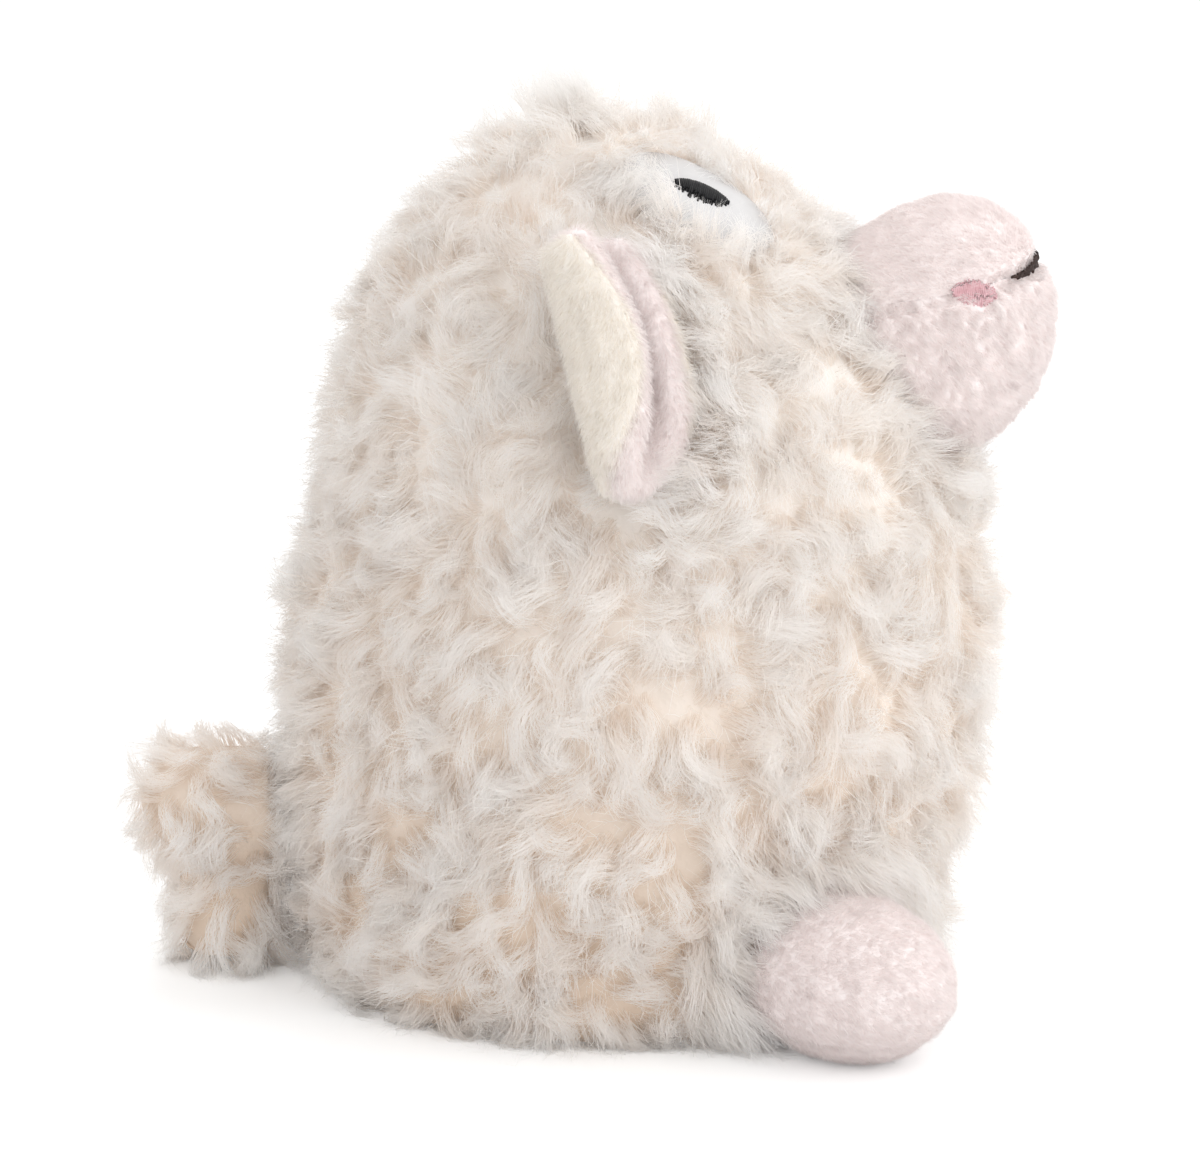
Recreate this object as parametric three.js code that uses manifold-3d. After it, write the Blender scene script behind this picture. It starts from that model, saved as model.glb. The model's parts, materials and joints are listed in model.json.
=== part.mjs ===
// A reversible plush toy with its curly sheep side out and its grey wolf side turned in.
// Millimetres, +Z up. The toy faces +X and stands on Z = 0.
import * as THREE from 'three';
import { mergeVertices } from 'three/addons/utils/BufferGeometryUtils.js';
import Module from 'manifold-3d';

const wasm = await Module();
wasm.setup();

// Cloth and seams
const GAP = 0.3; // left between pieces that are sewn or pressed together
const WOOL_THICKNESS = 10; // curly plush of the body, backing and pile
const TAIL_WOOL_THICKNESS = 7; // the same plush on the tail
const PLUSH_THICKNESS = 4; // short pink plush of muzzle and feet
const EAR_CLOTH_THICKNESS = 2.6; // one ply of an ear
const LINING_THICKNESS = 3; // grey plush of the turned-in side
const THREAD_HEIGHT = 0.9; // height of embroidery over the cloth under it

// Body: one bell from the skirt on the floor to the crown, as sections on top of each other
const SKIRT_ROUND = 7; // radius of its edge on the floor
const SKIRT_LENGTH = 137;
const SKIRT_WIDTH = 127;
const SKIRT_OFFSET = 2; // of a section's middle, forward
const BELLY_RISE = 59; // of a section over the one below it
const BELLY_LENGTH = 153;
const BELLY_WIDTH = 143;
const BELLY_OFFSET = 7;
const CHEST_RISE = 40;
const CHEST_LENGTH = 142;
const CHEST_WIDTH = 132;
const CHEST_OFFSET = 9;
const CHEEK_RISE = 34;
const CHEEK_LENGTH = 118;
const CHEEK_WIDTH = 112;
const CHEEK_OFFSET = 4;
const BROW_RISE = 30;
const BROW_LENGTH = 77;
const BROW_WIDTH = 77;
const BROW_OFFSET = 1;
const CROWN_RISE = 21;
const CROWN_OFFSET = -5;
const BELLY_HEIGHT = SKIRT_ROUND + BELLY_RISE;
const CHEST_HEIGHT = BELLY_HEIGHT + CHEST_RISE;
const CHEEK_HEIGHT = CHEST_HEIGHT + CHEEK_RISE;
const BROW_HEIGHT = CHEEK_HEIGHT + BROW_RISE;
const BODY_HEIGHT = BROW_HEIGHT + CROWN_RISE;

// Side seam between the back and the front panel
const SEAM_TOP_OFFSET = -5;
const SEAM_FOOT_OFFSET = 21;

// Pocket that the wolf side lines, open at the floor
const POCKET_LENGTH = 76;
const POCKET_WIDTH = 72;
const POCKET_DEPTH = 122;
const POCKET_BLUNTNESS = 3.2;

// Muzzle of the sheep
const MUZZLE_DROP = 2.5; // of its root below the cheek section
const MUZZLE_TILT = 25;
const MUZZLE_LENGTH = 34.5;
const MUZZLE_HEIGHT = 55;
const MUZZLE_WIDTH = 54;
const MUZZLE_RISE = 5.5; // of its tip over its root
const MUZZLE_BLUNTNESS = 2.6;
const MOUTH_ROOT_HEIGHT = 14; // mouth seam over the muzzle's axis at the root
const MOUTH_TIP_HEIGHT = 5; // and at the tip
const MOUTH_WIDTH = 33;
const MOUTH_THREAD_WIDTH = 2.6;
const SPOT_LENGTH = 9.5;
const SPOT_HEIGHT = 6;
const SPOT_OFFSET = 17; // out from the muzzle's root
const SPOT_TILT = 35; // of its front end, down from the muzzle's axis

// Eyes of the sheep
const EYE_LENGTH = 35;
const EYE_WIDTH = 22;
const EYE_DEPTH = 5;
const EYE_ANGLE = 50;
const EYE_RISE = 4.5; // of the middle over the brow section
const EYE_TILT = 34; // of its top, back from upright
const PUPIL_LENGTH = 12.4;
const PUPIL_WIDTH = 7.2;
const PUPIL_OFFSET = 1.6;

// Ears of the sheep
const EAR_LENGTH = 50;
const EAR_WIDTH = 41;
const EAR_ROOT_WIDTH = 28;
const EAR_CURL_RADIUS = 9; // radius that the cloth is rolled to
const EAR_WIDEST = 0.5; // share of the length at which an ear is widest
const EAR_TIP = 0.985; // share of the length at which its tip is cut off
const EAR_ANGLE = 97;
const EAR_DROP = 6.5; // of the root below the brow section
const EAR_OFFSET = 6.6;
const EAR_FORWARD = 0.23; // lean of its tip towards the face
const EAR_LIE = 0.08; // share of the body's height below the root that it lies along
const EAR_TURN = 35; // of its hollow side, out from the front

// Feet of the sheep
const FOOT_LENGTH = 52;
const FOOT_WIDTH = 40;
const FOOT_HEIGHT = 37;
const FOOT_ANGLE = 53;
const FOOT_OFFSET = 8;
const FOOT_SPLAY = 38;
const FOOT_FLAT_HEIGHT = 2;
const SOLE_THICKNESS = 5;

// Tail of the sheep
const TAIL_HEIGHT = 35;
const TAIL_OFFSET = 13;
const TAIL_LENGTH = 48;
const TAIL_WIDTH = 38;
const TAIL_DEPTH = 36;
const TAIL_TIP_LENGTH = 31;
const TAIL_TIP_WIDTH = 34;
const TAIL_TIP_DEPTH = 48;
const TAIL_TIP_OFFSET = 13.75;
const TAIL_TIP_HEIGHT = 14;

// Wolf side, turned in
const WOLF_MUZZLE_HEIGHT = 84;
const WOLF_MUZZLE_LENGTH = 30;
const WOLF_MUZZLE_DEPTH = 24;
const WOLF_MUZZLE_WIDTH = 28;
const WOLF_MUZZLE_DIP = 18;
const WOLF_NOSE_LENGTH = 11;
const WOLF_NOSE_WIDTH = 13;
const WOLF_NOSE_HEIGHT = 9;
const WOLF_NOSE_RISE = 2;
const WOLF_EYE_LENGTH = 15;
const WOLF_EYE_WIDTH = 12;
const WOLF_EYE_RISE = 20; // over the muzzle
const WOLF_EYE_SPREAD = 20;
const WOLF_PUPIL_WIDTH = 6;
const WOLF_FELT_THICKNESS = 2;
const WOLF_EAR_LENGTH = 24;
const WOLF_EAR_WIDTH = 20;
const WOLF_EAR_ROOT_WIDTH = 14;
const WOLF_EAR_CURL_RADIUS = 16;
const WOLF_EAR_HEIGHT = 100;
const WOLF_PAW_LENGTH = 25;
const WOLF_PAW_WIDTH = 19;
const WOLF_PAW_HEIGHT = 26;
const WOLF_PAW_SPREAD = 34;
const WOLF_PAW_ANGLE = 30;
const WOLF_TAIL_LENGTH = 46;
const WOLF_TAIL_WIDTH = 17;
const WOLF_TAIL_HEIGHT = 22;
const WOLF_TAIL_ANGLE = 62;

// Fineness of the swelling shapes
const BODY_SIDES = 24;
const BODY_RINGS = 13;
const LIMB_SIDES = 14;
const EAR_STEPS = 8;
const OVAL_STEPS = 8;
const LIMB_RINGS = 5;
const FAR = 400; // reach of the cutting blocks, past the whole toy

const WHITE = new THREE.Color('#f4f1ec');
const CREAM = new THREE.Color('#efe5da');
const PINK = new THREE.Color('#eed6d4');
const SPOT_PINK = new THREE.Color('#e2a3ad');
const BLACK = new THREE.Color('#1d1b1c');
const BROWN = new THREE.Color('#43302e');
const GREY = new THREE.Color('#8d8c90');
const PALE_GREY = new THREE.Color('#c9c7c8');
const FILLING = new THREE.Color('#f6f6f4');

const toy = new THREE.Group();
toy.name = 'reversible_plush';

const radians = THREE.MathUtils.degToRad;
const vector = (x, y, z) => new THREE.Vector3(x, y, z);

// From a closed geometry to a solid, and back
function solidOf(geometry) {
  const bare = geometry.clone();
  bare.deleteAttribute('normal');
  bare.deleteAttribute('uv');
  const merged = mergeVertices(bare, 1e-4);
  return new wasm.Manifold(new wasm.Mesh({
    numProp: 3,
    vertProperties: new Float32Array(merged.attributes.position.array),
    triVerts: new Uint32Array(merged.index.array),
  }));
}

function geometryOf(solid) {
  const mesh = solid.getMesh();
  const geometry = new THREE.BufferGeometry();
  geometry.setAttribute('position', new THREE.BufferAttribute(mesh.vertProperties, 3));
  geometry.setIndex(new THREE.BufferAttribute(mesh.triVerts, 1));
  return geometry;
}

function addPiece(name, solid, color, roughness) {
  const material = new THREE.MeshStandardMaterial({ color, roughness, metalness: 0 });
  const mesh = new THREE.Mesh(geometryOf(solid), material);
  mesh.name = name;
  toy.add(mesh);
}

// A closed skin over rings of equally many points, with a middle point at each end
function loft(rings, first, last) {
  const count = rings[0].length;
  const points = rings.flat().concat([first, last]);
  const start = points.length - 2;
  const end = points.length - 1;
  const top = (rings.length - 1) * count;
  const faces = [];
  for (let i = 0; i < count; i++) {
    const j = (i + 1) % count;
    for (let r = 0; r + 1 < rings.length; r++) {
      const low = r * count;
      const high = low + count;
      faces.push(low + i, low + j, high + j, low + i, high + j, high + i);
    }
    faces.push(start, j, i, end, top + i, top + j);
  }
  const geometry = new THREE.BufferGeometry().setFromPoints(points);
  geometry.setIndex(faces);
  return geometry;
}

function ring(sides, pointAt) {
  return Array.from({ length: sides }, (_, i) => pointAt(2 * Math.PI * i / sides));
}

// A block over a range of heights, and one over all that lies on one side of a slanted plane
function slab(low, high) {
  const box = new THREE.BoxGeometry(2 * FAR, 2 * FAR, high - low);
  return solidOf(box.translate(0, 0, (low + high) / 2));
}

function sideOf(point, normal) {
  const box = new THREE.BoxGeometry(2 * FAR, 2 * FAR, FAR).translate(0, 0, FAR / 2);
  const turn = new THREE.Quaternion().setFromUnitVectors(vector(0, 0, 1), normal.clone().normalize());
  return solidOf(box.applyQuaternion(turn).translate(point.x, point.y, point.z));
}

function frameAt(origin, x, y, z) {
  return new THREE.Matrix4().makeBasis(x, y, z).setPosition(origin);
}

function ellipsoid(length, width, height, at) {
  const ball = new THREE.SphereGeometry(0.5, LIMB_SIDES, LIMB_SIDES / 2);
  return solidOf(ball.scale(length, width, height).translate(at.x, at.y, at.z));
}

// A stuffed limb along +X: a blunt taper from a root of full size, buried behind X = 0
function bulb(length, height, width, bluntness, rise, buried) {
  const rings = [];
  const section = (reach, share) => ring(LIMB_SIDES, (a) => vector(
    reach,
    share * width / 2 * Math.cos(a),
    share * height / 2 * Math.sin(a) + rise * Math.max(reach, 0) / length,
  ));
  rings.push(section(-buried, 1));
  for (let r = 0; r < LIMB_RINGS; r++) {
    const reach = length * Math.sin(Math.PI / 2 * r / LIMB_RINGS);
    rings.push(section(reach, Math.sqrt(1 - (reach / length) ** bluntness)));
  }
  return loft(rings, vector(-buried, 0, 0), vector(length, 0, rise));
}

// One ply of a leaf-shaped ear along +X, hollow towards +Z, between two offsets of its cloth
function earPly(length, width, root, curl, from, to) {
  const along = EAR_STEPS;
  const across = EAR_STEPS;
  const rows = [];
  for (let s = 0; s <= along; s++) {
    const share = EAR_TIP * s / along;
    const past = Math.max(share - EAR_WIDEST, 0) / (1 - EAR_WIDEST);
    const before = Math.min(share / EAR_WIDEST, 1);
    const swell = root + (width - root) * Math.sin(Math.PI / 2 * before);
    const half = swell / 2 * Math.sqrt(1 - past ** 2);
    const pointAt = (t, offset) => {
      const turn = t * half / curl;
      const radius = curl - offset;
      return vector(length * share, radius * Math.sin(turn), curl - radius * Math.cos(turn));
    };
    const loop = [];
    for (let t = 0; t <= across; t++) {
      loop.push(pointAt(2 * t / across - 1, from));
    }
    for (let t = across; t >= 0; t--) {
      loop.push(pointAt(2 * t / across - 1, to));
    }
    rows.push(loop);
  }
  const count = rows[0].length;
  const faces = [];
  for (let i = 0; i < count; i++) {
    const j = (i + 1) % count;
    for (let r = 0; r < along; r++) {
      const low = r * count;
      const high = low + count;
      if (i <= across) {
        faces.push(low + i, low + j, high + j, low + i, high + j, high + i);
      } else {
        faces.push(low + i, low + j, high + i, low + j, high + j, high + i);
      }
    }
  }
  const tip = along * count;
  for (let i = 0; i < across; i++) {
    const a = i;
    const b = i + 1;
    const c = count - 2 - i;
    const d = count - 1 - i;
    faces.push(a, c, b, a, d, c, tip + a, tip + b, tip + c, tip + a, tip + c, tip + d);
  }
  const geometry = new THREE.BufferGeometry().setFromPoints(rows.flat());
  geometry.setIndex(faces);
  return geometry;
}

// Skin of the body, by share of the way from floor to crown and angle round from the front
const sections = [
  { height: SKIRT_ROUND, length: SKIRT_LENGTH, width: SKIRT_WIDTH, offset: SKIRT_OFFSET },
  { height: BELLY_HEIGHT, length: BELLY_LENGTH, width: BELLY_WIDTH, offset: BELLY_OFFSET },
  { height: CHEST_HEIGHT, length: CHEST_LENGTH, width: CHEST_WIDTH, offset: CHEST_OFFSET },
  { height: CHEEK_HEIGHT, length: CHEEK_LENGTH, width: CHEEK_WIDTH, offset: CHEEK_OFFSET },
  { height: BROW_HEIGHT, length: BROW_LENGTH, width: BROW_WIDTH, offset: BROW_OFFSET },
  { height: BODY_HEIGHT, length: 0, width: 0, offset: CROWN_OFFSET },
];

// The curves run on over the crown and down again, so that the top is round
const sizePoints = sections.map((s) => vector(s.length / 2, s.width / 2, s.height));
sizePoints.push(vector(-BROW_LENGTH / 2, -BROW_WIDTH / 2, BROW_HEIGHT));
const offsetPoints = sections.map((s) => vector(s.offset, 0, 0));
offsetPoints.push(vector(BROW_OFFSET, 0, 0));
const sizeCurve = new THREE.CatmullRomCurve3(sizePoints, false, 'catmullrom', 0.5);
const offsetCurve = new THREE.CatmullRomCurve3(offsetPoints, false, 'catmullrom', 0.5);
const CROWN_AT = (sections.length - 1) / (sizePoints.length - 1);
const ROUND_SHARE = 0.12; // of the way up, taken by the round edge on the floor

function bodySize(share) {
  const way = Math.max(share - ROUND_SHARE, 0) / (1 - ROUND_SHARE) * CROWN_AT;
  const size = sizeCurve.getPoint(way);
  if (share < ROUND_SHARE) {
    const turn = Math.PI / 2 * share / ROUND_SHARE;
    const under = SKIRT_ROUND * (1 - Math.sin(turn));
    size.set(size.x - under, size.y - under, SKIRT_ROUND * (1 - Math.cos(turn)));
  }
  return { size, offset: offsetCurve.getPoint(way).x };
}

function bodyPoint(share, angle) {
  const { size, offset } = bodySize(share);
  return vector(offset + size.x * Math.cos(angle), size.y * Math.sin(angle), size.z);
}

// Way out of the skin; level where the skin turns under, so that insets never fold there
function bodyNormal(share, angle) {
  const step = 1e-3;
  const { size } = bodySize(share);
  const level = vector(Math.cos(angle) / size.x, Math.sin(angle) / size.y, 0).normalize();
  const up = bodyPoint(share + step, angle).sub(bodyPoint(share, angle));
  const round = bodyPoint(share, angle + step).sub(bodyPoint(share, angle));
  const out = round.cross(up).normalize();
  return out.z < 0 ? level : out;
}

function shareAt(height) {
  let low = 0;
  let high = 1;
  for (let i = 0; i < 40; i++) {
    const middle = (low + high) / 2;
    if (bodyPoint(middle, 0).z < height) {
      low = middle;
    } else {
      high = middle;
    }
  }
  return low;
}

// The body's shape, drawn in by an inset; one that is drawn in also runs out through the floor
function bodyShape(inset) {
  const rings = [];
  for (let r = 0; r < BODY_RINGS; r++) {
    const share = r / BODY_RINGS;
    rings.push(ring(BODY_SIDES, (angle) => {
      const point = bodyPoint(share, angle).addScaledVector(bodyNormal(share, angle), -inset);
      if (r === 0 && inset !== 0) {
        point.z = inset > 0 ? -WOOL_THICKNESS : inset;
      }
      return point;
    }));
  }
  const foot = vector(SKIRT_OFFSET, 0, rings[0][0].z);
  return solidOf(loft(rings, foot, vector(CROWN_OFFSET, 0, BODY_HEIGHT - inset)));
}

const outside = bodyShape(0);
const besideBody = bodyShape(-GAP);
const aboveFloor = slab(0, FAR);

// Pocket: a blunt bell open at the floor, drawn out or in by an offset
function pocketShape(offset) {
  const rings = [];
  const depth = POCKET_DEPTH + offset;
  const section = (height, share) => ring(BODY_SIDES, (a) => vector(
    SKIRT_OFFSET + share * (POCKET_LENGTH / 2 + offset) * Math.cos(a),
    share * (POCKET_WIDTH / 2 + offset) * Math.sin(a),
    height,
  ));
  rings.push(section(-WOOL_THICKNESS, 1));
  for (let r = 0; r < LIMB_RINGS; r++) {
    const height = depth * Math.sin(Math.PI / 2 * r / LIMB_RINGS);
    rings.push(section(height, Math.sqrt(1 - (height / depth) ** POCKET_BLUNTNESS)));
  }
  return solidOf(loft(rings, vector(SKIRT_OFFSET, 0, -WOOL_THICKNESS), vector(SKIRT_OFFSET, 0, depth)));
}

const pocket = pocketShape(0);
const insidePocket = pocketShape(-GAP).intersect(aboveFloor);

// Wolf lining: the pocket's cloth and the flange that closes the underside
const core = bodyShape(WOOL_THICKNESS + GAP);
const flange = core.intersect(slab(0, LINING_THICKNESS));
const lining = flange.add(pocketShape(LINING_THICKNESS).intersect(aboveFloor)).subtract(pocket);
addPiece('wolf_lining', lining, GREY, 0.95);

// Filling between the two skins
const overLining = LINING_THICKNESS + GAP;
const filling = core.subtract(pocketShape(overLining)).intersect(slab(overLining, FAR));
addPiece('body_stuffing', filling, FILLING, 1);

// Eyes: a white oval sunk in the front panel, and an embroidered pupil on it
function ovalDisc(length, width, depth) {
  const oval = new THREE.Shape().absellipse(0, 0, length / 2, width / 2, 0, 2 * Math.PI);
  return new THREE.ExtrudeGeometry(oval, { depth, bevelEnabled: false, curveSegments: OVAL_STEPS });
}

function bodyLayer(deep, high) {
  return bodyShape(high).subtract(bodyShape(deep));
}

const eyeShare = shareAt(BROW_HEIGHT + EYE_RISE);
function eyeFrame(side) {
  const angle = side * radians(EYE_ANGLE);
  const out = bodyNormal(eyeShare, angle);
  const up = bodyPoint(eyeShare + 0.01, angle).sub(bodyPoint(eyeShare, angle)).normalize();
  up.applyAxisAngle(out, -side * radians(EYE_TILT));
  return frameAt(bodyPoint(eyeShare, angle), up, out.clone().cross(up), out);
}

const sides = [['left', 1], ['right', -1]];
const eyeSeats = [];
for (const [word, side] of sides) {
  const frame = eyeFrame(side);
  const oval = (length, width, up, reach) => solidOf(
    ovalDisc(length, width, 2 * reach).translate(up, 0, -reach).applyMatrix4(frame),
  );
  const seat = oval(EYE_LENGTH + 2 * GAP, EYE_WIDTH + 2 * GAP, 0, 2 * WOOL_THICKNESS);
  eyeSeats.push(seat.subtract(bodyShape(EYE_DEPTH + GAP)));
  const white = oval(EYE_LENGTH, EYE_WIDTH, 0, 2 * WOOL_THICKNESS).intersect(bodyLayer(EYE_DEPTH, 0));
  addPiece(`eye_white_${word}`, white, WHITE, 0.8);
  const stitched = bodyLayer(-GAP, -GAP - THREAD_HEIGHT);
  const pupil = oval(PUPIL_LENGTH, PUPIL_WIDTH, PUPIL_OFFSET, WOOL_THICKNESS).intersect(stitched);
  addPiece(`pupil_${word}`, pupil, BLACK, 0.5);
}

// Body skin: curly plush in a back and a front panel, sewn together along the side seam
const shell = outside.subtract(bodyShape(WOOL_THICKNESS));
const seamSlope = vector(BODY_HEIGHT, 0, SEAM_FOOT_OFFSET - SEAM_TOP_OFFSET).normalize();
const seamFoot = vector(SEAM_FOOT_OFFSET, 0, 0);
const frontHalf = sideOf(seamFoot.clone().addScaledVector(seamSlope, GAP / 2), seamSlope);
const backHalf = sideOf(seamFoot.clone().addScaledVector(seamSlope, -GAP / 2), seamSlope.clone().negate());
const frontPanel = eyeSeats.reduce((panel, seat) => panel.subtract(seat), shell.intersect(frontHalf));
addPiece('sheep_front_panel', frontPanel, CREAM, 1);
addPiece('sheep_back_panel', shell.intersect(backHalf), CREAM, 1);

// Muzzle: two pink panels over a filling, split along the mouth seam
const muzzleRoot = bodyPoint(shareAt(CHEEK_HEIGHT - MUZZLE_DROP), 0);
const muzzleAxis = vector(Math.cos(radians(MUZZLE_TILT)), 0, Math.sin(radians(MUZZLE_TILT)));
const sideways = vector(0, 1, 0);
const muzzleUp = muzzleAxis.clone().cross(sideways);
const muzzleFrame = frameAt(muzzleRoot, muzzleAxis, sideways, muzzleUp);

function muzzleShape(grow) {
  const cone = bulb(
    MUZZLE_LENGTH + grow,
    MUZZLE_HEIGHT + 2 * grow,
    MUZZLE_WIDTH + 2 * grow,
    MUZZLE_BLUNTNESS,
    MUZZLE_RISE,
    WOOL_THICKNESS,
  );
  return solidOf(cone.applyMatrix4(muzzleFrame));
}

function mouthSide(way, offset) {
  const slope = vector(MOUTH_ROOT_HEIGHT - MOUTH_TIP_HEIGHT, 0, MUZZLE_LENGTH);
  slope.normalize().multiplyScalar(way);
  const foot = vector(0, 0, MOUTH_ROOT_HEIGHT).addScaledVector(slope, offset);
  foot.applyMatrix4(muzzleFrame);
  return sideOf(foot, slope.transformDirection(muzzleFrame));
}

const muzzleSkin = muzzleShape(0).subtract(muzzleShape(-PLUSH_THICKNESS)).subtract(besideBody);
addPiece('muzzle_upper_panel', muzzleSkin.intersect(mouthSide(1, GAP / 2)), PINK, 0.95);
addPiece('muzzle_lower_panel', muzzleSkin.intersect(mouthSide(-1, GAP / 2)), PINK, 0.95);
addPiece('muzzle_stuffing', muzzleShape(-PLUSH_THICKNESS - GAP).subtract(besideBody), FILLING, 1);

const threadLayer = muzzleShape(GAP + THREAD_HEIGHT).subtract(muzzleShape(GAP));
const mouthBox = new THREE.BoxGeometry(MUZZLE_LENGTH, MOUTH_WIDTH, MUZZLE_HEIGHT);
const mouthFront = solidOf(mouthBox.translate(MUZZLE_LENGTH, 0, 0).applyMatrix4(muzzleFrame));
const mouth = threadLayer
  .intersect(mouthSide(1, -MOUTH_THREAD_WIDTH / 2))
  .intersect(mouthSide(-1, -MOUTH_THREAD_WIDTH / 2))
  .intersect(mouthFront);
addPiece('mouth_stitching', mouth, BROWN, 0.7);

const mouthFall = (MOUTH_ROOT_HEIGHT - MOUTH_TIP_HEIGHT) / MUZZLE_LENGTH;
const spotHeight = MOUTH_ROOT_HEIGHT - mouthFall * SPOT_OFFSET;
for (const [word, side] of sides) {
  const disc = ovalDisc(SPOT_LENGTH, SPOT_HEIGHT, MUZZLE_WIDTH);
  disc.rotateX(-side * Math.PI / 2).rotateY(radians(SPOT_TILT));
  disc.translate(SPOT_OFFSET, 0, spotHeight);
  const spot = threadLayer.intersect(solidOf(disc.applyMatrix4(muzzleFrame)));
  addPiece(`cheek_spot_${word}`, spot, SPOT_PINK, 0.8);
}

// Ears: a cream back and a pink lining, curled together and hung from the side seam
const BACK_PLY = [-EAR_CLOTH_THICKNESS - GAP / 2, -GAP / 2];
const LINING_PLY = [GAP / 2, EAR_CLOTH_THICKNESS + GAP / 2];
const earShare = shareAt(BROW_HEIGHT - EAR_DROP);
for (const [word, side] of sides) {
  const angle = side * radians(EAR_ANGLE);
  const out = bodyNormal(earShare, angle);
  const below = bodyPoint(earShare - EAR_LIE, angle);
  const down = below.sub(bodyPoint(earShare, angle)).normalize();
  const along = down.clone().add(vector(EAR_FORWARD, 0, 0)).normalize();
  const open = vector(Math.cos(radians(EAR_TURN)), side * Math.sin(radians(EAR_TURN)), 0);
  open.addScaledVector(along, -open.dot(along)).normalize();
  const root = bodyPoint(earShare, angle).addScaledVector(out, EAR_OFFSET);
  root.addScaledVector(open, -EAR_CURL_RADIUS / 2);
  const frame = frameAt(root, along, open.clone().cross(along), open);
  const leaf = [EAR_LENGTH, EAR_WIDTH, EAR_ROOT_WIDTH, EAR_CURL_RADIUS];
  const ply = (from, to) => solidOf(earPly(...leaf, from, to).applyMatrix4(frame)).subtract(besideBody);
  addPiece(`ear_${word}_back`, ply(...BACK_PLY), CREAM, 0.95);
  addPiece(`ear_${word}_lining`, ply(...LINING_PLY), PINK, 0.95);
}

// Feet: a pink upper and a sole round a filling, splayed out from under the skirt
const footShare = shareAt(FOOT_HEIGHT / 2);
for (const [word, side] of sides) {
  const angle = side * radians(FOOT_ANGLE);
  const at = bodyPoint(footShare, angle);
  const out = bodyNormal(footShare, angle).setZ(0).normalize();
  at.addScaledVector(out, FOOT_OFFSET).setZ(FOOT_HEIGHT / 2 - FOOT_FLAT_HEIGHT);
  const foot = (grow) => {
    const ball = new THREE.SphereGeometry(0.5, LIMB_SIDES, LIMB_SIDES / 2).rotateX(Math.PI / 2);
    ball.scale(FOOT_LENGTH + 2 * grow, FOOT_WIDTH + 2 * grow, FOOT_HEIGHT + 2 * grow);
    ball.rotateZ(side * radians(FOOT_SPLAY)).translate(at.x, at.y, at.z);
    return solidOf(ball);
  };
  const overSole = slab(SOLE_THICKNESS + GAP, FAR).subtract(besideBody);
  addPiece(`foot_${word}_upper`, foot(0).subtract(foot(-PLUSH_THICKNESS)).intersect(overSole), PINK, 0.95);
  const sole = foot(0).intersect(slab(0, SOLE_THICKNESS)).subtract(besideBody);
  addPiece(`foot_${word}_sole`, sole, PINK, 0.95);
  addPiece(`foot_${word}_stuffing`, foot(-PLUSH_THICKNESS - GAP).intersect(overSole), FILLING, 1);
}

// Tail: a curly lobe out of the back and a hanging tip that reaches the floor
const tailRoot = bodyPoint(shareAt(TAIL_HEIGHT), Math.PI);
function tailShape(grow) {
  const lobe = ellipsoid(
    TAIL_LENGTH + 2 * grow,
    TAIL_WIDTH + 2 * grow,
    TAIL_DEPTH + 2 * grow,
    vector(tailRoot.x - TAIL_OFFSET, 0, TAIL_HEIGHT),
  );
  const tip = ellipsoid(
    TAIL_TIP_LENGTH + 2 * grow,
    TAIL_TIP_WIDTH + 2 * grow,
    TAIL_TIP_DEPTH + 2 * grow,
    vector(tailRoot.x - TAIL_TIP_OFFSET, 0, TAIL_TIP_HEIGHT),
  );
  return lobe.add(tip);
}
const tailCore = tailShape(-TAIL_WOOL_THICKNESS).intersect(slab(TAIL_WOOL_THICKNESS, FAR));
const behindBody = aboveFloor.subtract(besideBody);
addPiece('tail_skin', tailShape(0).subtract(tailCore).intersect(behindBody), CREAM, 1);
const tailFilling = tailShape(-TAIL_WOOL_THICKNESS - GAP).intersect(slab(TAIL_WOOL_THICKNESS + GAP, FAR));
addPiece('tail_stuffing', tailFilling.subtract(besideBody), FILLING, 1);

// Wolf face on the pocket's front wall, upside of the pocket towards the crown
function wallShare(height) {
  return Math.sqrt(1 - (height / POCKET_DEPTH) ** POCKET_BLUNTNESS);
}

function wallReach(height, across) {
  const half = wallShare(height) * POCKET_WIDTH / 2;
  return wallShare(height) * POCKET_LENGTH / 2 * Math.sqrt(1 - (across / half) ** 2);
}

function wolfLimb(length, height, width, root, axis) {
  const side = vector(-axis.z, 0, axis.x).cross(axis).normalize();
  const frame = frameAt(root, axis, side, axis.clone().cross(side));
  const limb = bulb(length, height, width, MUZZLE_BLUNTNESS, 0, WOOL_THICKNESS);
  return solidOf(limb.applyMatrix4(frame)).intersect(insidePocket);
}

const dip = radians(WOLF_MUZZLE_DIP);
const wolfAxis = vector(-Math.cos(dip), 0, -Math.sin(dip));
const wolfRoot = vector(SKIRT_OFFSET + wallReach(WOLF_MUZZLE_HEIGHT, 0), 0, WOLF_MUZZLE_HEIGHT);
const wolfMuzzle = (grow) => wolfLimb(
  WOLF_MUZZLE_LENGTH + grow,
  WOLF_MUZZLE_DEPTH + 2 * grow,
  WOLF_MUZZLE_WIDTH + 2 * grow,
  wolfRoot,
  wolfAxis,
);
addPiece('wolf_muzzle', wolfMuzzle(0), PALE_GREY, 0.95);
const noseAt = wolfRoot.clone().addScaledVector(wolfAxis, WOLF_MUZZLE_LENGTH - GAP);
noseAt.z += WOLF_NOSE_RISE;
const wolfNose = ellipsoid(WOLF_NOSE_LENGTH, WOLF_NOSE_WIDTH, WOLF_NOSE_HEIGHT, noseAt);
addPiece('wolf_nose', wolfNose.subtract(wolfMuzzle(GAP)), BLACK, 0.6);

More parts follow.
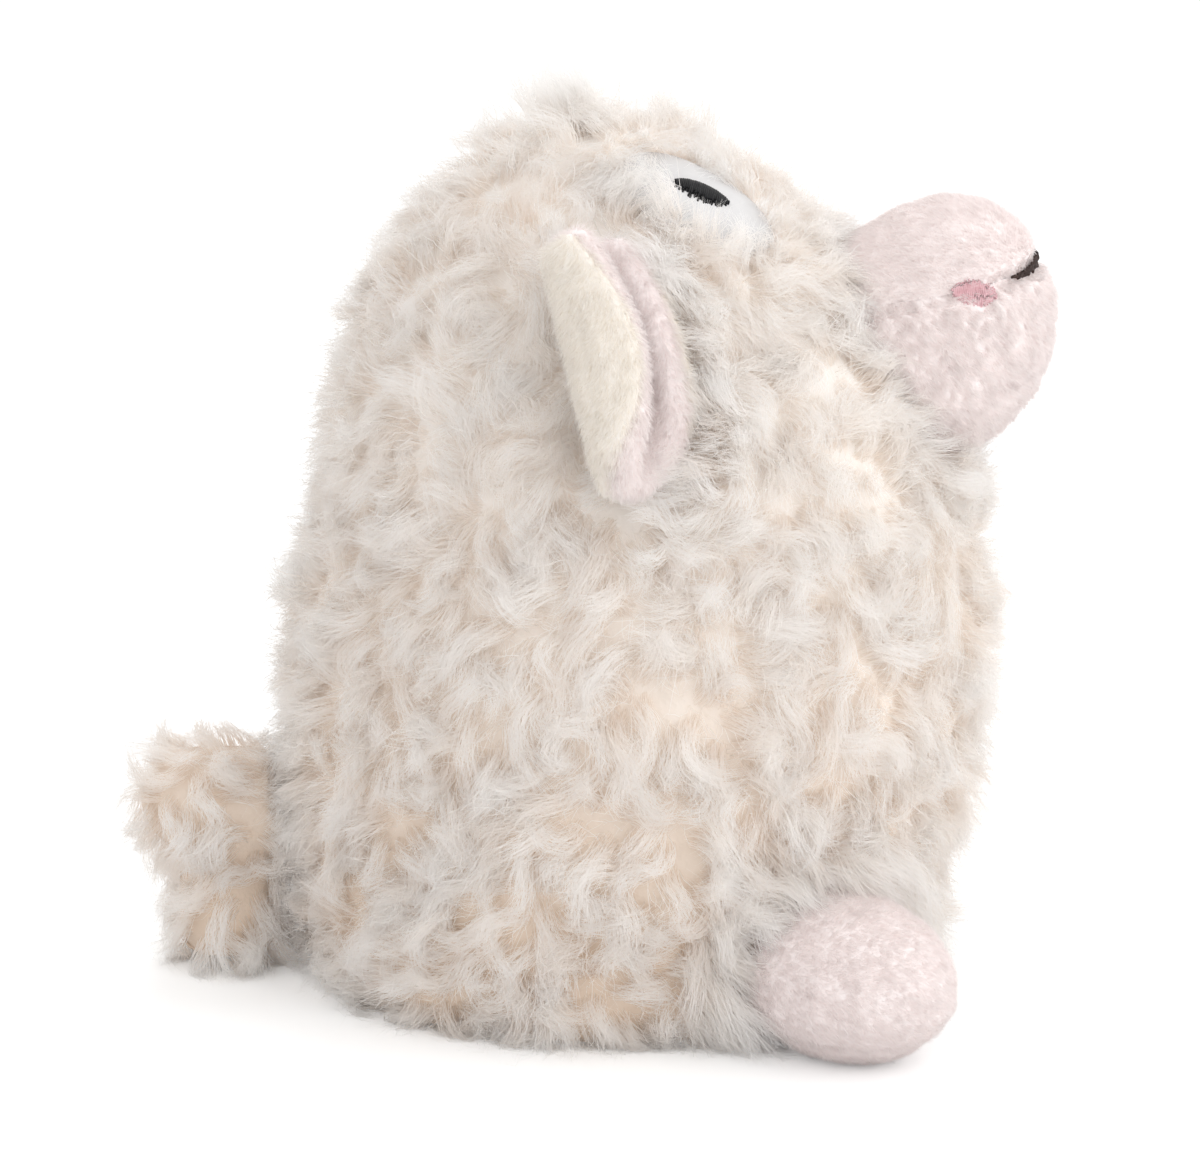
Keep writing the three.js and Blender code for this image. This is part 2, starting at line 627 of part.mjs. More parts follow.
const wallLayer = (from, to) => pocketShape(-from).subtract(pocketShape(-to));
for (const [word, side] of sides) {
  const patch = (length, width, layer) => {
    const disc = ovalDisc(length, width, POCKET_LENGTH).rotateY(Math.PI / 2);
    disc.translate(SKIRT_OFFSET, side * WOLF_EYE_SPREAD / 2, WOLF_MUZZLE_HEIGHT + WOLF_EYE_RISE);
    return layer.intersect(solidOf(disc));
  };
  const white = patch(WOLF_EYE_LENGTH, WOLF_EYE_WIDTH, wallLayer(GAP, GAP + WOLF_FELT_THICKNESS));
  addPiece(`wolf_eye_white_${word}`, white, WHITE, 0.8);
  const overFelt = WOLF_FELT_THICKNESS + 2 * GAP;
  const stitched = wallLayer(overFelt, overFelt + THREAD_HEIGHT);
  const pupil = patch(WOLF_PUPIL_WIDTH, WOLF_PUPIL_WIDTH, stitched);
  addPiece(`wolf_pupil_${word}`, pupil, BLACK, 0.5);
}

// Wolf ears, paws and tail, each sewn to the pocket's wall
for (const [word, side] of sides) {
  const wallAt = (height) => vector(SKIRT_OFFSET, side * wallShare(height) * POCKET_WIDTH / 2, height);
  const root = wallAt(WOLF_EAR_HEIGHT);
  const along = wallAt(WOLF_EAR_HEIGHT - WOLF_EAR_LENGTH).sub(root).normalize();
  const open = vector(0, side * along.z, -side * along.y);
  root.addScaledVector(open, EAR_CLOTH_THICKNESS + GAP);
  const frame = frameAt(root, along, open.clone().cross(along), open);
  const leaf = [WOLF_EAR_LENGTH, WOLF_EAR_WIDTH, WOLF_EAR_ROOT_WIDTH, WOLF_EAR_CURL_RADIUS];
  const ply = (from, to) => solidOf(earPly(...leaf, from, to).applyMatrix4(frame)).intersect(insidePocket);
  addPiece(`wolf_ear_${word}_back`, ply(...BACK_PLY), GREY, 0.95);
  addPiece(`wolf_ear_${word}_lining`, ply(...LINING_PLY), PALE_GREY, 0.95);
  const across = side * WOLF_PAW_SPREAD / 2;
  const pawRoot = vector(SKIRT_OFFSET + wallReach(WOLF_PAW_HEIGHT, across), across, WOLF_PAW_HEIGHT);
  const lift = radians(WOLF_PAW_ANGLE);
  const paw = wolfLimb(
    WOLF_PAW_LENGTH,
    WOLF_PAW_WIDTH,
    WOLF_PAW_WIDTH,
    pawRoot,
    vector(-Math.cos(lift), 0, Math.sin(lift)),
  );
  addPiece(`wolf_paw_${word}`, paw, GREY, 0.95);
}

const tailLift = radians(WOLF_TAIL_ANGLE);
const wolfTail = wolfLimb(
  WOLF_TAIL_LENGTH,
  WOLF_TAIL_WIDTH,
  WOLF_TAIL_WIDTH,
  vector(SKIRT_OFFSET - wallReach(WOLF_TAIL_HEIGHT, 0), 0, WOLF_TAIL_HEIGHT),
  vector(Math.cos(tailLift), 0, Math.sin(tailLift)),
);
addPiece('wolf_tail', wolfTail, GREY, 0.95);

// The origin lies under the middle of the whole toy
const bounds = new THREE.Box3().setFromObject(toy);
const middle = bounds.getCenter(vector(0, 0, 0));
for (const piece of toy.children) {
  piece.geometry.translate(-middle.x, -middle.y, -bounds.min.z);
}

export default toy;
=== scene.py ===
"""Looks of a reversible plush toy, curly sheep side out, on a pale studio floor."""
import json
import math

import bmesh
import bpy
import numpy as np
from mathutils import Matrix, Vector, noise
from mathutils.bvhtree import BVHTree


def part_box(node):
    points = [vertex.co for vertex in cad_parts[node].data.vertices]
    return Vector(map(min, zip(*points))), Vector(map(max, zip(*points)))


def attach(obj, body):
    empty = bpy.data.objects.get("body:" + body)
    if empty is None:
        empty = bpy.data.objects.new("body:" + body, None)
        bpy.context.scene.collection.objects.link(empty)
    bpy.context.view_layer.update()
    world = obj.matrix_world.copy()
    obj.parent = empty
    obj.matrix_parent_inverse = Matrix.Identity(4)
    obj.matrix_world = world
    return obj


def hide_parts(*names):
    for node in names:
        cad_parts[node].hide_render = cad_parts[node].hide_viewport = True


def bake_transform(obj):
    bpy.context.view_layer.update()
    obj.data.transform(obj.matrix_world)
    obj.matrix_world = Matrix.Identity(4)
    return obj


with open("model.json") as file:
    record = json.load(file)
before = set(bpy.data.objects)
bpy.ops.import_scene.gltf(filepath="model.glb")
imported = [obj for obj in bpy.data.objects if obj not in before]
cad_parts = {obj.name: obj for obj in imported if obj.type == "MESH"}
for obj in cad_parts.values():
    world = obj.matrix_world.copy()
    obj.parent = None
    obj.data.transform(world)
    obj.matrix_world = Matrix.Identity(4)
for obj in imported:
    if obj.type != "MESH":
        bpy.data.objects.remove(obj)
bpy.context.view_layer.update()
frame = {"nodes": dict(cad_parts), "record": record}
nodes = frame["nodes"]
SEED = 11
chance = np.random.default_rng(SEED)
noise.seed_set(SEED)  # without it, vectors of noise follow the clock

MM = 0.001
SIDES = ("left", "right")

# Photograph's view
AIM = Vector((3.5, 0, 85.6)) * MM
DISTANCE = 1.0
ELEVATION = math.radians(15)
FIELD_WIDTH = 258 * MM

# Curly wool
WOOL_DEPTH = 3 * MM  # roots of the curls, below the pile's mean surface
LUMP_SIZE, LUMP_DEPTH = 16 * MM, 2.2 * MM  # of the matted wool under the curls
SEAM_PARTING = 1.8 * MM
SEAM_REACH = 9 * MM  # of the wool that lies away from it

# Short plush
PLUSH_DEPTH = 1.0 * MM  # its roots below the cloth's outer surface

# Light
WORLD_STRENGTH = 0.84
FLOOR_GLOW = 0.25  # lifts the floor to white for the camera alone
LAMPS = (  # name, place and size in metres, watts
    ("key", (0.9, -0.6, 0.7), 1.1, 5.6),
    ("fill", (-0.3, -1.1, 0.8), 1.1, 1.4),
    ("rim", (0.1, 0.7, 1.1), 0.9, 4.5),
)


# Reading the frame

def tree_of(names):
    """One search tree over several CAD nodes."""
    vertices, faces = [], []
    for name in names:
        mesh = nodes[name].data
        start = len(vertices)
        vertices += [v.co.copy() for v in mesh.vertices]
        faces += [[start + i for i in p.vertices] for p in mesh.polygons]
    return BVHTree.FromPolygons(vertices, faces)


def skin_tree(mesh):
    """A search tree over one mesh."""
    return BVHTree.FromPolygons([v.co for v in mesh.vertices], [p.vertices for p in mesh.polygons])


def middle(*names):
    """Middle of the box round some CAD nodes."""
    boxes = [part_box(name) for name in names]
    low = Vector([min(b[0][i] for b in boxes) for i in range(3)])
    high = Vector([max(b[1][i] for b in boxes) for i in range(3)])
    return (low + high) / 2


def measure(name):
    """Middle, axes from the longest to the shortest, and sizes along them, of a flat CAD node."""
    points = np.array([v.co for v in nodes[name].data.vertices])
    centre = points.mean(0)
    axes = np.linalg.svd(points - centre, full_matrices=False)[2]
    spans = np.ptp((points - centre) @ axes.T, axis=0)
    return Vector(centre), [Vector(a) for a in axes], spans


# Meshes and cloth skins

def mesh_from(name, points, faces, smooth=True):
    mesh = bpy.data.meshes.new(name)
    mesh.from_pydata([tuple(p) for p in points], [], faces)
    mesh.update()
    mesh.polygons.foreach_set("use_smooth", [smooth] * len(mesh.polygons))
    return mesh


def add_object(name, mesh, material):
    piece = bpy.data.objects.new(name, mesh)
    bpy.context.scene.collection.objects.link(piece)
    mesh.materials.clear()
    mesh.materials.append(material)
    return piece


def grid_mesh(name, grid):
    """A skin over rows of points that close round in columns, with its first row at a pole."""
    rows, columns = grid.shape[:2]
    points = [grid[0].mean(0)] + [p for row in grid[1:] for p in row]
    faces = []
    for c in range(columns):
        d = (c + 1) % columns
        faces.append((0, 1 + c, 1 + d))
        for r in range(rows - 2):
            low = 1 + r * columns
            faces.append((low + c, low + columns + c, low + columns + d, low + d))
    return mesh_from(name, points, faces)


def cast_dome(names, centre, cap_rows, wall_rows, columns, foot, blur):
    """Points of a skin that stands on the floor: a cap round a centre, and a wall down from it."""
    tree = tree_of(names)
    far = 0.5
    rows = cap_rows + wall_rows
    reach = np.full((rows, columns), np.nan)
    starts, ways = np.zeros((2, rows, columns, 3))
    for r in range(rows):
        polar = math.pi / 2 * min(r / cap_rows, 1)
        drop = max(r - cap_rows, 0) / (wall_rows - 1) * (centre.z - foot)
        core = centre - Vector((0, 0, drop))
        for c in range(columns):
            turn = 2 * math.pi * c / columns
            way = Vector((
                math.cos(turn) * math.sin(polar), math.sin(turn) * math.sin(polar), math.cos(polar),
            ))
            starts[r, c], ways[r, c] = core, way
            hit = tree.ray_cast(core + way * far, -way)[0]
            if hit is not None:
                reach[r, c] = (hit - core).dot(way)
    return starts + ways * blurred(reach, blur)[..., None]


def blurred(reach, times):
    """Smooths a table of distances, and fills what is missing from the row before."""
    for r in range(1, len(reach)):
        missing = np.isnan(reach[r])
        reach[r][missing] = reach[r - 1][missing]
    for _ in range(times):
        around = (np.roll(reach, 1, 1) + 2 * reach + np.roll(reach, -1, 1)) / 4
        across = around.copy()
        across[1:-1] = (around[:-2] + 2 * around[1:-1] + around[2:]) / 4
        across[0] = across[1].mean()
        reach = across
    return reach


def normals_of(mesh):
    normals = np.zeros(len(mesh.vertices) * 3, np.float32)
    mesh.vertex_normals.foreach_get("vector", normals)
    return normals.reshape(-1, 3).astype(float)


def points_of(mesh):
    points = np.zeros(len(mesh.vertices) * 3, np.float32)
    mesh.vertices.foreach_get("co", points)
    return points.reshape(-1, 3).astype(float)


def move_points(mesh, points):
    mesh.vertices.foreach_set("co", points.astype(np.float32).ravel())
    mesh.update()


def settle(mesh, low):
    """Lifts a skin off the floor."""
    points = points_of(mesh)
    points[:, 2] = np.maximum(points[:, 2], low)
    move_points(mesh, points)


def inset(mesh, depth):
    """A copy of a skin, drawn in along its normals."""
    drawn = mesh.copy()
    move_points(drawn, points_of(mesh) - depth * normals_of(mesh))
    return drawn


def cut(mesh, name, point, normal):
    """The part of a skin on the side of a plane that its normal points to."""
    work = bmesh.new()
    work.from_mesh(mesh)
    geometry = work.verts[:] + work.edges[:] + work.faces[:]
    bmesh.ops.bisect_plane(work, geom=geometry, plane_co=point, plane_no=normal, clear_inner=True)
    kept = bpy.data.meshes.new(name)
    work.to_mesh(kept)
    work.free()
    kept.polygons.foreach_set("use_smooth", [True] * len(kept.polygons))
    return kept


def crease(mesh, point, normal, width, depth, spot=None, reach=1.0):
    """Draws a skin in along a seam, with small puckers; round one spot only, where one is given."""
    points = points_of(mesh)
    apart = (points - np.array(point)) @ np.array(normal)
    pucker = np.array([1 + 0.5 * noise.noise(Vector(p) / (2.5 * MM)) for p in points])
    pull = depth * pucker * np.exp(-((apart / width) ** 2))
    if spot is not None:
        pull *= np.exp(-(np.linalg.norm(points - np.array(spot), axis=1) / reach) ** 2)
    move_points(mesh, points - normals_of(mesh) * pull[:, None])


def seam_between(first, second):
    """Point and normal of the flat seam between two CAD nodes, towards the first."""
    other = tree_of([second])
    edge = [v.co.copy() for v in nodes[first].data.vertices if other.find_nearest(v.co)[3] < 0.6 * MM]
    points = np.array(edge)
    centre = points.mean(0)
    normal = np.linalg.svd(points - centre, full_matrices=False)[2][2]
    if (np.array(middle(first)) - centre) @ normal < 0:
        normal = -normal
    return Vector(centre), Vector(normal)


def welded(name, node_names, swell):
    """CAD solids in one mesh, each grown by a little."""
    work = bmesh.new()
    for node in node_names:
        solid = bmesh.new()
        solid.from_mesh(nodes[node].data)
        bmesh.ops.remove_doubles(solid, verts=solid.verts[:], dist=0.01 * MM)
        bmesh.ops.recalc_face_normals(solid, faces=solid.faces[:])
        solid.normal_update()
        for vertex in solid.verts:
            vertex.co += vertex.normal * swell
        part = bpy.data.meshes.new(name)
        solid.to_mesh(part)
        solid.free()
        work.from_mesh(part)
        bpy.data.meshes.remove(part)
    mesh = bpy.data.meshes.new(name)
    work.to_mesh(mesh)
    work.free()
    return mesh


def outer_part(mesh):
    """Keeps the largest closed part of a mesh, and drops what is inside it."""
    work = bmesh.new()
    work.from_mesh(mesh)
    left, parts = set(work.verts), []
    while left:
        part, edge = set(), [left.pop()]
        while edge:
            vertex = edge.pop()
            part.add(vertex)
            for link in vertex.link_edges:
                other = link.other_vert(vertex)
                if other in left:
                    left.remove(other)
                    edge.append(other)
        parts.append(part)
    parts.sort(key=lambda part: max(v.co.x for v in part) - min(v.co.x for v in part))
    for part in parts[:-1]:
        bmesh.ops.delete(work, geom=list(part), context="VERTS")
    work.to_mesh(mesh)
    work.free()


def cloth_copy(name, node_names, voxel, smoothing, swell=0.0):
    """A closed, softened copy of CAD solids, in even small faces; a swell joins them into one."""
    rough = bpy.data.objects.new(name + "_rough", welded(name + "_rough", node_names, swell))
    bpy.context.scene.collection.objects.link(rough)
    remesh = rough.modifiers.new("voxels", "REMESH")
    remesh.mode = "VOXEL"
    remesh.voxel_size = voxel
    soften = rough.modifiers.new("soften", "SMOOTH")
    soften.factor = 0.5
    soften.iterations = smoothing
    graph = bpy.context.evaluated_depsgraph_get()
    mesh = bpy.data.meshes.new_from_object(rough.evaluated_get(graph))
    mesh.name = name
    bpy.data.objects.remove(rough)
    if swell:
        outer_part(mesh)
        move_points(mesh, points_of(mesh) - swell * normals_of(mesh))
    mesh.polygons.foreach_set("use_smooth", [True] * len(mesh.polygons))
    return mesh


def ruffle(mesh, size, depth):
    """Pushes a skin in and out by soft noise, as cloth over loose filling is."""
    points = points_of(mesh)
    push = np.array([noise.noise(Vector(p) / size) for p in points])
    move_points(mesh, points + normals_of(mesh) * (push * depth)[:, None])


def furrow(mesh, flow, width, length, depth):
    """Presses wavy furrows into a skin, along the way its plush is brushed."""
    points = points_of(mesh)
    flow = np.array(Vector(flow).normalized())
    along = points @ flow
    wavy = points + 0.3 * width * np.array([noise.noise_vector(Vector(p) / (3 * width)) for p in points])
    spots = (wavy - (wavy @ flow)[:, None] * flow) / width + along[:, None] * flow / length
    push = np.array([noise.noise(Vector(p)) for p in spots])
    move_points(mesh, points + normals_of(mesh) * (push * depth)[:, None])


# Fibres

def scatter(mesh, count):
    """Points spread evenly by chance over a mesh, with the normals there."""
    mesh.calc_loop_triangles()
    corners = np.zeros(len(mesh.loop_triangles) * 3, np.int32)
    mesh.loop_triangles.foreach_get("vertices", corners)
    corners = corners.reshape(-1, 3)
    points, normals = points_of(mesh), normals_of(mesh)
    a, b, c = (points[corners[:, i]] for i in range(3))
    areas = np.linalg.norm(np.cross(b - a, c - a), axis=1)
    pick = chance.choice(len(corners), count, p=areas / areas.sum())
    u, v = chance.random((2, count))
    over = u + v > 1
    u[over], v[over] = 1 - u[over], 1 - v[over]
    shares = np.stack([1 - u - v, u, v], axis=1)[..., None]
    found = corners[pick]
    spots = (points[found] * shares).sum(1)
    out = unit((normals[found] * shares).sum(1))
    return spots, out


def area_of(mesh):
    return sum(p.area for p in mesh.polygons)


def unit(vectors):
    return vectors / np.maximum(np.linalg.norm(vectors, axis=-1, keepdims=True), 1e-12)


def even(points, spacing):
    """Indices of points that keep a distance from each other."""
    cells, kept = {}, []
    for i, p in enumerate(points):
        key = tuple(np.floor(p / spacing).astype(int))
        near = [
            cells.get((key[0] + dx, key[1] + dy, key[2] + dz), ())
            for dx in (-1, 0, 1) for dy in (-1, 0, 1) for dz in (-1, 0, 1)
        ]
        if all(((points[j] - p) ** 2).sum() > spacing ** 2 for found in near for j in found):
            cells.setdefault(key, []).append(i)
            kept.append(i)
    return np.array(kept)


def combed(points, normals, flow, swirl, size):
    """Directions along a skin: a main flow, turned by soft noise."""
    wild = np.array([noise.noise_vector(Vector(p) / size) for p in points])
    way = np.asarray(flow) + swirl * wild
    way = way - normals * (way * normals).sum(1, keepdims=True)
    return unit(way)


def grow(roots, normals, combs, style):
    """Centrelines of fibres in curled locks, and the number of each fibre's lock."""
    locks = len(roots)
    sides = np.cross(normals, combs)
    own = np.repeat(np.arange(locks), style["fibres"])
    count = len(own)
    step = np.linspace(0, 1, style["steps"])
    reach = style["length"] * chance.uniform(0.75, 1.2, locks)
    if "reach" in style:
        reach = np.minimum(reach, style["reach"])
    start = np.radians(chance.uniform(*style["root_lean"], locks))[own] + chance.normal(0, 0.14, count)
    end = np.radians(chance.uniform(*style["tip_lean"], locks))[own] + chance.normal(0, 0.2, count)
    sway = (chance.uniform(-1, 1, locks) * style["sway"])[own]
    phase = chance.uniform(0, 2 * math.pi, locks)[own]
    stray = chance.normal(0, style["stray"], count)
    angle = start[:, None] + (end - start)[:, None] * step ** 1.2
    turn = sway[:, None] * np.sin(phase[:, None] + 2 * math.pi * style["waves"] * step) + stray[:, None]
    level = (
        np.cos(turn)[..., None] * combs[own][:, None]
        + np.sin(turn)[..., None] * sides[own][:, None]
    )
    way = np.cos(angle)[..., None] * normals[own][:, None] + np.sin(angle)[..., None] * level
    stride = (reach[own] * chance.uniform(0.75, 1.1, count))[:, None, None] / (style["steps"] - 1)
    path = np.cumsum(way, axis=1) * stride
    path -= path[:, :1]
    spot = style["radius"] * np.sqrt(chance.random(count))
    bearing = chance.uniform(0, 2 * math.pi, count)
    offset = (
        (spot * np.cos(bearing))[:, None] * combs[own]
        + (spot * np.sin(bearing))[:, None] * sides[own]
    )
    pinch, frizz = (np.broadcast_to(style[key], locks)[own][:, None] * step for key in ("pinch", "frizz"))
    shake = chance.normal(size=(count, style["steps"], 3)) * frizz[..., None]
    return roots[own][:, None] + path + offset[:, None] * (1 - pinch)[..., None] + shake, own


def fibre_piece(name, lines, own, outs, width, material):
    """One piece of flat tapered fibres that face out, mapped from root to tip and by lock."""
    count, steps = lines.shape[:2]
    lines = lines.copy()
    low = 0.0003
    under = lines[..., 2] < low
    lines[..., 2][under] = low + 0.0004 * chance.random(under.sum())
    ahead = unit(np.gradient(lines, axis=1))
    facing = outs[own] + 0.2 * chance.normal(size=(count, 3))
    across = unit(np.cross(ahead, facing[:, None]))
    share = np.linspace(0, 1, steps)
    half = width / 2 * chance.uniform(0.7, 1.2, count)[:, None] * (1 - 0.9 * share ** 2)[None]
    edges = np.stack([lines - across * half[..., None], lines + across * half[..., None]], axis=2)
    first = (np.arange(count)[:, None] * steps + np.arange(steps - 1)[None]).ravel() * 2
    loops = np.stack([first, first + 1, first + 3, first + 2], axis=1)
    mesh = bpy.data.meshes.new(name)
    mesh.vertices.add(count * steps * 2)
    mesh.vertices.foreach_set("co", edges.astype(np.float32).ravel())
    mesh.loops.add(loops.size)
    mesh.loops.foreach_set("vertex_index", loops.astype(np.int32).ravel())
    mesh.polygons.add(len(loops))
    mesh.polygons.foreach_set("loop_start", np.arange(len(loops), dtype=np.int32) * 4)
    tint = chance.random(len(outs))[own]
    tint = np.clip(tint + chance.normal(0, 0.06, count), 0.01, 0.99)
    u = np.stack([tint - 0.004, tint + 0.004], axis=1)
    corner = np.array([0, 1, 1, 0])
    maps = np.zeros((count, steps - 1, 4, 2), np.float32)
    maps[..., 0] = u[:, None, corner]
    maps[..., :2, 1] = share[None, :-1, None]
    maps[..., 2:, 1] = share[None, 1:, None]
    for layer in ("Strand", "OFBake"):
        mesh.uv_layers.new(name=layer).data.foreach_set("uv", maps.ravel())
    mesh.update()
    mesh.validate()
    return add_object(name, mesh, material)


# Materials

def new_material(name, roughness, sheen=0.0, specular=0.3):
    material = bpy.data.materials.new(name)
    material.use_nodes = True
    shader = material.node_tree.nodes["Principled BSDF"]
    shader.inputs["Roughness"].default_value = roughness
    shader.inputs["Sheen Weight"].default_value = sheen
    shader.inputs["Specular IOR Level"].default_value = specular
    return material, material.node_tree, shader


def ramp_node(tree, stops):
    node = tree.nodes.new("ShaderNodeValToRGB")
    ramp = node.color_ramp
    while len(ramp.elements) < len(stops):
        ramp.elements.new(0.5)
    for element, (place, color) in zip(ramp.elements, stops):
        element.position = place
        element.color = (*color, 1)
    return node


def times_node(tree, first, second):
    node = tree.nodes.new("ShaderNodeMix")
    node.data_type = "RGBA"
    node.blend_type = "MULTIPLY"
    node.inputs["Factor"].default_value = 1
    tree.links.new(first, node.inputs["A"])
    tree.links.new(second, node.inputs["B"])
    return node.outputs["Result"]


def fibre_material(name, along, among, roughness=0.85, sheen=0.0, clear=0.6):
    """Fibres coloured from root to tip and a little apart from lock to lock, that let light through; the
    darker, warmer roots are painted shade.
    """
    material, tree, shader = new_material(name, roughness, sheen, 0.1)
    strand = tree.nodes.new("ShaderNodeUVMap")
    strand.uv_map = "Strand"
    apart = tree.nodes.new("ShaderNodeSeparateXYZ")
    tree.links.new(strand.outputs["UV"], apart.inputs["Vector"])
    length = ramp_node(tree, along)
    lock = ramp_node(tree, among)
    tree.links.new(apart.outputs["Y"], length.inputs["Fac"])
    tree.links.new(apart.outputs["X"], lock.inputs["Fac"])
    color = times_node(tree, length.outputs["Color"], lock.outputs["Color"])
    tree.links.new(color, shader.inputs["Base Color"])
    through = tree.nodes.new("ShaderNodeBsdfTranslucent")
    tree.links.new(color, through.inputs["Color"])
    mix = tree.nodes.new("ShaderNodeMixShader")
    mix.inputs["Fac"].default_value = clear
    tree.links.new(shader.outputs["BSDF"], mix.inputs[1])
    tree.links.new(through.outputs["BSDF"], mix.inputs[2])
    tree.links.new(mix.outputs["Shader"], tree.nodes["Material Output"].inputs["Surface"])
    return material


def cloth_material(name, dark, light, size, bump, roughness=0.95, sheen=0.2, painted_shade_rising=None):
    """Cloth with soft patches and a bump of fine grain, and, if a ramp is given, painted shade: a tint that
    changes upwards.
    """
    material, tree, shader = new_material(name, roughness, sheen, 0.15)
    place = tree.nodes.new("ShaderNodeTexCoord")
    patches = tree.nodes.new("ShaderNodeTexNoise")
    patches.inputs["Scale"].default_value = 1 / size
    patches.inputs["Detail"].default_value = 6
    tree.links.new(place.outputs["Object"], patches.inputs["Vector"])
    ramp = ramp_node(tree, [(0.3, dark), (0.7, light)])
    tree.links.new(patches.outputs["Fac"], ramp.inputs["Fac"])
    color = ramp.outputs["Color"]
    # Painted shade: the tint darkens the cloth low down and fades out upwards.
    if painted_shade_rising:
        apart = tree.nodes.new("ShaderNodeSeparateXYZ")
        tree.links.new(place.outputs["Object"], apart.inputs["Vector"])
        tint = ramp_node(tree, painted_shade_rising)
        tree.links.new(apart.outputs["Z"], tint.inputs["Fac"])
        color = times_node(tree, color, tint.outputs["Color"])
    tree.links.new(color, shader.inputs["Base Color"])
    grain = tree.nodes.new("ShaderNodeTexNoise")
    grain.inputs["Scale"].default_value = 1 / (0.15 * size)
    grain.inputs["Detail"].default_value = 4
    tree.links.new(place.outputs["Object"], grain.inputs["Vector"])
    relief = tree.nodes.new("ShaderNodeBump")
    relief.inputs["Strength"].default_value = 0.6
    relief.inputs["Distance"].default_value = bump
    tree.links.new(grain.outputs["Fac"], relief.inputs["Height"])
    tree.links.new(relief.outputs["Normal"], shader.inputs["Normal"])
    return material


def thread_material(name, dark, light, roughness, sheen=0.0):
    return cloth_material(name, dark, light, 1 * MM, 0.05 * MM, roughness, sheen)


# In these fibre ramps the darker, warmer root end is painted shade for the depths between the locks; the
# tips carry the fibres' own colour.
WOOL = fibre_material(
    "curly_wool",
    [
        (0.0, (0.95, 0.89, 0.835)), (0.3, (0.982, 0.962, 0.943)),
        (0.6, (0.99, 0.981, 0.972)), (1.0, (0.992, 0.988, 0.983)),
    ],
    [(0.0, (0.968, 0.94, 0.915)), (0.4, (1.0, 0.993, 0.986)), (1.0, (1.0, 1.0, 1.0))],
    sheen=0.4,
)
TUFT = fibre_material(
    "white_tuft",
    [(0.0, (0.96, 0.93, 0.90)), (0.5, (0.98, 0.97, 0.96)), (1.0, (0.985, 0.98, 0.975))],
    [(0.0, (0.99, 0.985, 0.98)), (1.0, (1.0, 1.0, 1.0))],
    sheen=0.3,
)
PINK_PILE = fibre_material(
    "pink_pile",
    [(0.0, (0.945, 0.887, 0.876)), (0.5, (0.96, 0.923, 0.914)), (1.0, (0.966, 0.934, 0.926))],
    [(0.0, (0.985, 0.98, 0.98)), (1.0, (1.0, 1.0, 1.0))],
    sheen=0.35,
)
CREAM_PILE = fibre_material(
    "cream_pile",
    [(0.0, (0.97, 0.935, 0.89)), (0.5, (0.985, 0.966, 0.94)), (1.0, (0.99, 0.976, 0.958))],
    [(0.0, (0.985, 0.975, 0.955)), (1.0, (1.0, 1.0, 1.0))],
    sheen=0.35,
)
# The backing's upward tint is painted shade: darker and warmer towards the floor, gone from 130 mm up.
BACKING = cloth_material(
    "plush_backing", (0.87, 0.81, 0.755), (0.91, 0.865, 0.825), 6 * MM, 0.4 * MM,
    painted_shade_rising=[(20 * MM, (0.86, 0.75, 0.65)), (130 * MM, (1.0, 1.0, 1.0))],
)
PINK_CLOTH = cloth_material("pink_plush", (0.955, 0.875, 0.862), (0.965, 0.90, 0.892), 5 * MM, 0.3 * MM)
CREAM_CLOTH = cloth_material("cream_plush", (0.94, 0.89, 0.825), (0.96, 0.92, 0.87), 5 * MM, 0.3 * MM)
WHITE_CLOTH = cloth_material("white_plush", (0.66, 0.65, 0.65), (0.69, 0.68, 0.68), 3 * MM, 0.1 * MM)
GREY_CLOTH = cloth_material("grey_plush", (0.20, 0.20, 0.215), (0.31, 0.31, 0.33), 4 * MM, 0.4 * MM)
PALE_GREY_CLOTH = cloth_material("pale_grey_plush", (0.50, 0.49, 0.49), (0.62, 0.61, 0.61), 4 * MM, 0.4 * MM)
FILLING = cloth_material("fibre_filling", (0.82, 0.82, 0.81), (0.92, 0.92, 0.91), 9 * MM, 1.0 * MM)
BLACK_THREAD = thread_material("black_thread", (0.008, 0.008, 0.009), (0.02, 0.02, 0.022), 0.35)
BROWN_THREAD = thread_material("brown_thread", (0.035, 0.022, 0.02), (0.07, 0.045, 0.04), 0.5)
PINK_THREAD = thread_material("pink_thread", (0.66, 0.38, 0.41), (0.78, 0.52, 0.55), 0.6, 0.1)


def place(piece, body, slot, *stands_for):
    """Sets a piece on one body."""
    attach(piece, body)
    if stands_for:
        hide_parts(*stands_for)
    return piece


def bend(piece, limb, slot, *stands_for):
    """Bakes a piece's place into its mesh, and hides the CAD nodes it stands for."""
    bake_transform(piece)
    if stands_for:
        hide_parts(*stands_for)
    return piece


# Body: backing cloth and curly wool
PANELS = ("sheep_back_panel", "sheep_front_panel")
EYE_NODES = ("eye_white_left", "eye_white_right")
body_low, body_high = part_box("sheep_back_panel")[0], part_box("sheep_front_panel")[1]
body_centre = Vector(((body_low.x + body_high.x) / 2 - 5 * MM, 0, 0.42 * body_high.z))
CAP_ROWS, WALL_ROWS, BODY_COLUMNS = 64, 50, 200
HEM = 1 * MM  # over the floor
body_dome = cast_dome(PANELS + EYE_NODES, body_centre, CAP_ROWS, WALL_ROWS, BODY_COLUMNS, HEM, 6)
body_skin = grid_mesh("body_skin", body_dome)
body_tree = skin_tree(body_skin)
seam_point, seam_normal = seam_between("sheep_front_panel", "sheep_back_panel")
backing_skin = inset(body_skin, WOOL_DEPTH)
ruffle(backing_skin, LUMP_SIZE, LUMP_DEPTH)
crease(backing_skin, seam_point, seam_normal, 3 * MM, 1.2 * MM)
hemmed = points_of(backing_skin)
hemmed[-BODY_COLUMNS:, 2] = HEM  # the skin goes straight down to it
move_points(backing_skin, hemmed)
backing_tree = skin_tree(backing_skin)
